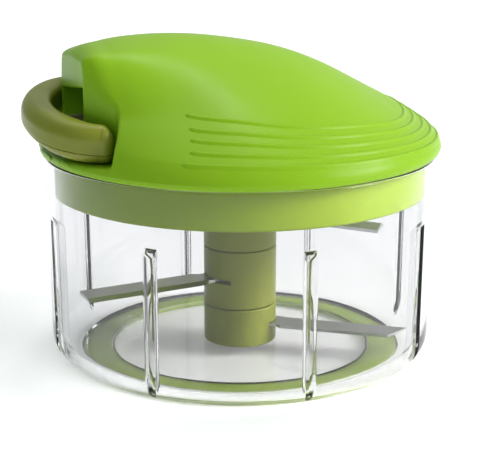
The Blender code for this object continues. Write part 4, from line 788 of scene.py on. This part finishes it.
for name, low_z, high_z, slot_z, slot_angle, slot_reach in HUBS:
    a = math.radians(slot_angle)

    def hub_plan(x, y, a=a):
        return dict(r=np.hypot(x, y), along=x * math.cos(a) + y * math.sin(a),
                    off=y * math.cos(a) - x * math.sin(a))

    def hub_solid(p, z, low_z=low_z, high_z=high_z, slot_z=slot_z, slot_reach=slot_reach):
        body = both(np.maximum(p["r"] - HUB_R, HUB_BORE - p["r"]),
                    np.maximum(low_z - z, z - high_z), HUB_ROUND)
        slot = np.maximum(p["off"] - slot_reach, -BLADE_SLOT_SIDE - p["off"])
        slot = np.maximum(slot, 0 - p["along"])
        slot = np.maximum(slot, np.abs(z - slot_z) - BLADE_SLOT_HALF)
        return both(body, -slot, BLADE_SLOT_ROUND)

    made = skin(hub_plan, hub_solid, (-HUB_BOX, -HUB_BOX, low_z - HUB_MARGIN),
                (HUB_BOX, HUB_BOX, high_z + HUB_MARGIN), 0.4)
    add_piece(name + "_sleeve", placed(made[0]), made[1], "blade_unit", OLIVE,
              [name], normals=made[2])


# Cord: the winding on the reel, and the run from the reel to the knot

def tube(line, radius, sides):
    """Points and faces of a closed tube along a line that never runs upright."""
    line = np.array(line, float)
    run = np.gradient(line, axis=0)
    run /= np.linalg.norm(run, axis=1)[:, None]
    points, faces = [], []
    up = np.array([0, 0, 1.0])
    for i, (p, d) in enumerate(zip(line, run)):
        side = np.cross(up, d)
        side /= np.linalg.norm(side)
        over = np.cross(d, side)
        for k in range(sides):
            a = 2 * math.pi * k / sides
            points.append(p + radius * (side * math.cos(a) + over * math.sin(a)))
        if i:
            for k in range(sides):
                j = (k + 1) % sides
                b = (i - 1) * sides
                faces.append((b + k, b + j, b + sides + j, b + sides + k))
    faces.append(tuple(range(sides))[::-1])
    last = (len(line) - 1) * sides
    faces.append(tuple(last + k for k in range(sides)))
    return points, faces


turns = [(WIND_R * math.cos(2 * math.pi * i / WIND_STEPS),
          WIND_R * math.sin(2 * math.pi * i / WIND_STEPS),
          WIND_Z + WIND_PITCH * i / WIND_STEPS) for i in range(WIND_STEPS * WIND_TURNS + 1)]
points, faces = tube(turns, WIND_CORD_R, sides=12)
add_piece("cord_winding_turns", placed(points), faces, "reel", CORD,
          ["cord_winding"])

lean = math.acos(LEAVE_R / GUIDE_FAR)
leave = np.array([LEAVE_R * math.cos(math.pi - lean), LEAVE_R * math.sin(math.pi - lean), CORD_Z])
turn_in = np.array([CORD_BEND_X, 0, CORD_Z])
knot = np.array([CORD_END_X, 0, CORD_Z])
path = [leave + (turn_in - leave) * i / LEAVE_STEPS for i in range(LEAVE_STEPS)]
path += [turn_in + (knot - turn_in) * i / RUN_STEPS for i in range(RUN_STEPS + 1)]
points, faces = tube(path, CORD_R, sides=14)
cord = add_piece("pull_cord_braid", placed(points), faces, None, CORD, ["pull_cord"])
tuple(placed([(-47.5, 0, CORD_Z)])[0])
tuple(placed([(-61.4, 0, CORD_Z)])[0])
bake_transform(cord)


# CAD nodes that stay, with finer edges and their own materials

# what a node is made of and the width of its bevelled edges in mm; the screws aren't listed
SCREWS = (STEEL, 0.15)
KEPT = {"blade_low": (BLADE, 0.12), "blade_middle": (BLADE, 0.12), "blade_high": (BLADE, 0.12),
        "tower_core": (OLIVE, 0.2), "pivot_pin": (STEEL, 0.2), "pivot_bush": (BRASS, 0.2),
        "drive_shaft": (OLIVE, 0.25), "shaft_bush": (BRASS, 0.2), "retaining_clip": (STEEL, 0.1),
        "ratchet_wheel": (WHITE, 0.15), "pawl_a": (WHITE, 0.2), "pawl_b": (WHITE, 0.2),
        "pawl_pin_1": (STEEL, 0.15), "pawl_pin_2": (STEEL, 0.15), "cord_reel": (WHITE, 0.3),
        "reel_bush": (BRASS, 0.2), "reel_axle": (STEEL, 0.25), "mainspring": (STEEL, 0.05),
        "spring_housing": (WHITE, 0.25), "cord_knot": (CORD, 0.5), "cord_guide": (WHITE, 0.25)}
for name, item in NODES.items():
    if item.hide_render:
        continue
    material, width = KEPT.get(name, SCREWS)
    item.data.materials.clear()
    item.data.materials.append(material)
    edge = item.modifiers.new("edges", "BEVEL")
    edge.width = width * MM
    edge.segments = 2
    edge.limit_method = "ANGLE"
    edge.angle_limit = math.radians(40)


# Floor, light and camera

FLOOR_HALF, FLOOR_PARTS, FLOOR_Z = 3.0, 24, -0.0002
AIM = (0.0, 0.0, 0.06)
# name, place, size and power of each light
LIGHTS = [("key", (2.8, -1.6, 1.9), (1.5, 1.5), 116.0),
          ("top", (-0.3, 1.2, 3.4), (2.4, 2.4), 26.0),
          ("glint", (0.45, 0.5, 2.7), (0.45, 0.8), 11.0),
          ("side", (1.5, -1.1, 0.5), (0.8, 0.8), 5.0)]
SKY_TOWARD = (0.85, 0.25, 0.35)
CAMERA_TURN, CAMERA_PITCH = math.radians(-20), math.radians(15.24)
CAMERA_FAR, CAMERA_Z = 0.468, 0.1703


def floor_piece():
    mesh = bpy.data.meshes.new("floor")
    lines = np.linspace(-FLOOR_HALF, FLOOR_HALF, FLOOR_PARTS + 1)
    points = [(x, y, FLOOR_Z) for y in lines for x in lines]
    row = FLOOR_PARTS + 1
    faces = [(j * row + i, j * row + i + 1, (j + 1) * row + i + 1, (j + 1) * row + i)
             for j in range(FLOOR_PARTS) for i in range(FLOOR_PARTS)]
    mesh.from_pydata(points, [], faces)
    made = bpy.data.objects.new("floor", mesh)
    bpy.context.scene.collection.objects.link(made)
    material, tree, shader, place = start_material("floor_white")
    cloud = noise(tree, place, scale=3, detail=3)
    tint = mixed(tree, cloud, (0.90, 0.90, 0.90), (0.93, 0.93, 0.93))
    tree.links.new(tint, shader.inputs["Base Color"])
    shader.inputs["Roughness"].default_value = 0.55
    shader.inputs["Specular IOR Level"].default_value = 0.3
    shader.inputs["Emission Color"].default_value = (1, 1, 1, 1)
    shader.inputs["Emission Strength"].default_value = 0.22
    mesh.materials.append(material)


def area_light(name, place, size, power):
    data = bpy.data.lights.new(name, "AREA")
    data.shape = "RECTANGLE"
    data.size, data.size_y = size
    data.energy = power
    made = bpy.data.objects.new(name, data)
    made.location = place
    made.rotation_mode = "QUATERNION"
    made.rotation_quaternion = (Vector(AIM) - Vector(place)).to_track_quat("-Z", "Y")
    bpy.context.scene.collection.objects.link(made)


floor_piece()

# a sky that is brighter and whiter towards one side
world = bpy.data.worlds.new("studio")
world.use_nodes = True
sky = world.node_tree
toward = sky.nodes.new("ShaderNodeVectorMath")
toward.operation = "DOT_PRODUCT"
toward.inputs[1].default_value = Vector(SKY_TOWARD).normalized()
sky.links.new(sky.nodes.new("ShaderNodeTexCoord").outputs["Generated"], toward.inputs[0])
sky.links.new(ranged(sky, toward.outputs["Value"], -0.8, 0.9, 0.2, 0.66),
              sky.nodes["Background"].inputs["Strength"])
whiter = ranged(sky, toward.outputs["Value"], -0.8, 0.4, 0, 1)
sky.links.new(mixed(sky, whiter, (0.5, 0.85, 1.0), (1.0, 1.0, 1.0)),
              sky.nodes["Background"].inputs["Color"])
bpy.context.scene.world = world
bpy.context.scene.view_settings.view_transform = "Standard"
for light in LIGHTS:
    area_light(*light)

camera = bpy.data.cameras.new("camera")
camera.sensor_fit = "HORIZONTAL"
camera.sensor_width = 36.0
camera.lens = 109.35
camera.clip_start = 0.01
viewer = bpy.data.objects.new("camera", camera)
bpy.context.scene.collection.objects.link(viewer)
viewer.location = (AXIS_X + CAMERA_FAR * math.sin(CAMERA_TURN),
                   -CAMERA_FAR * math.cos(CAMERA_TURN), CAMERA_Z)
ahead = Vector((-math.sin(CAMERA_TURN) * math.cos(CAMERA_PITCH),
                math.cos(CAMERA_TURN) * math.cos(CAMERA_PITCH), -math.sin(CAMERA_PITCH)))
viewer.rotation_mode = "QUATERNION"
viewer.rotation_quaternion = ahead.to_track_quat("-Z", "Y")
bpy.context.scene.camera = viewer
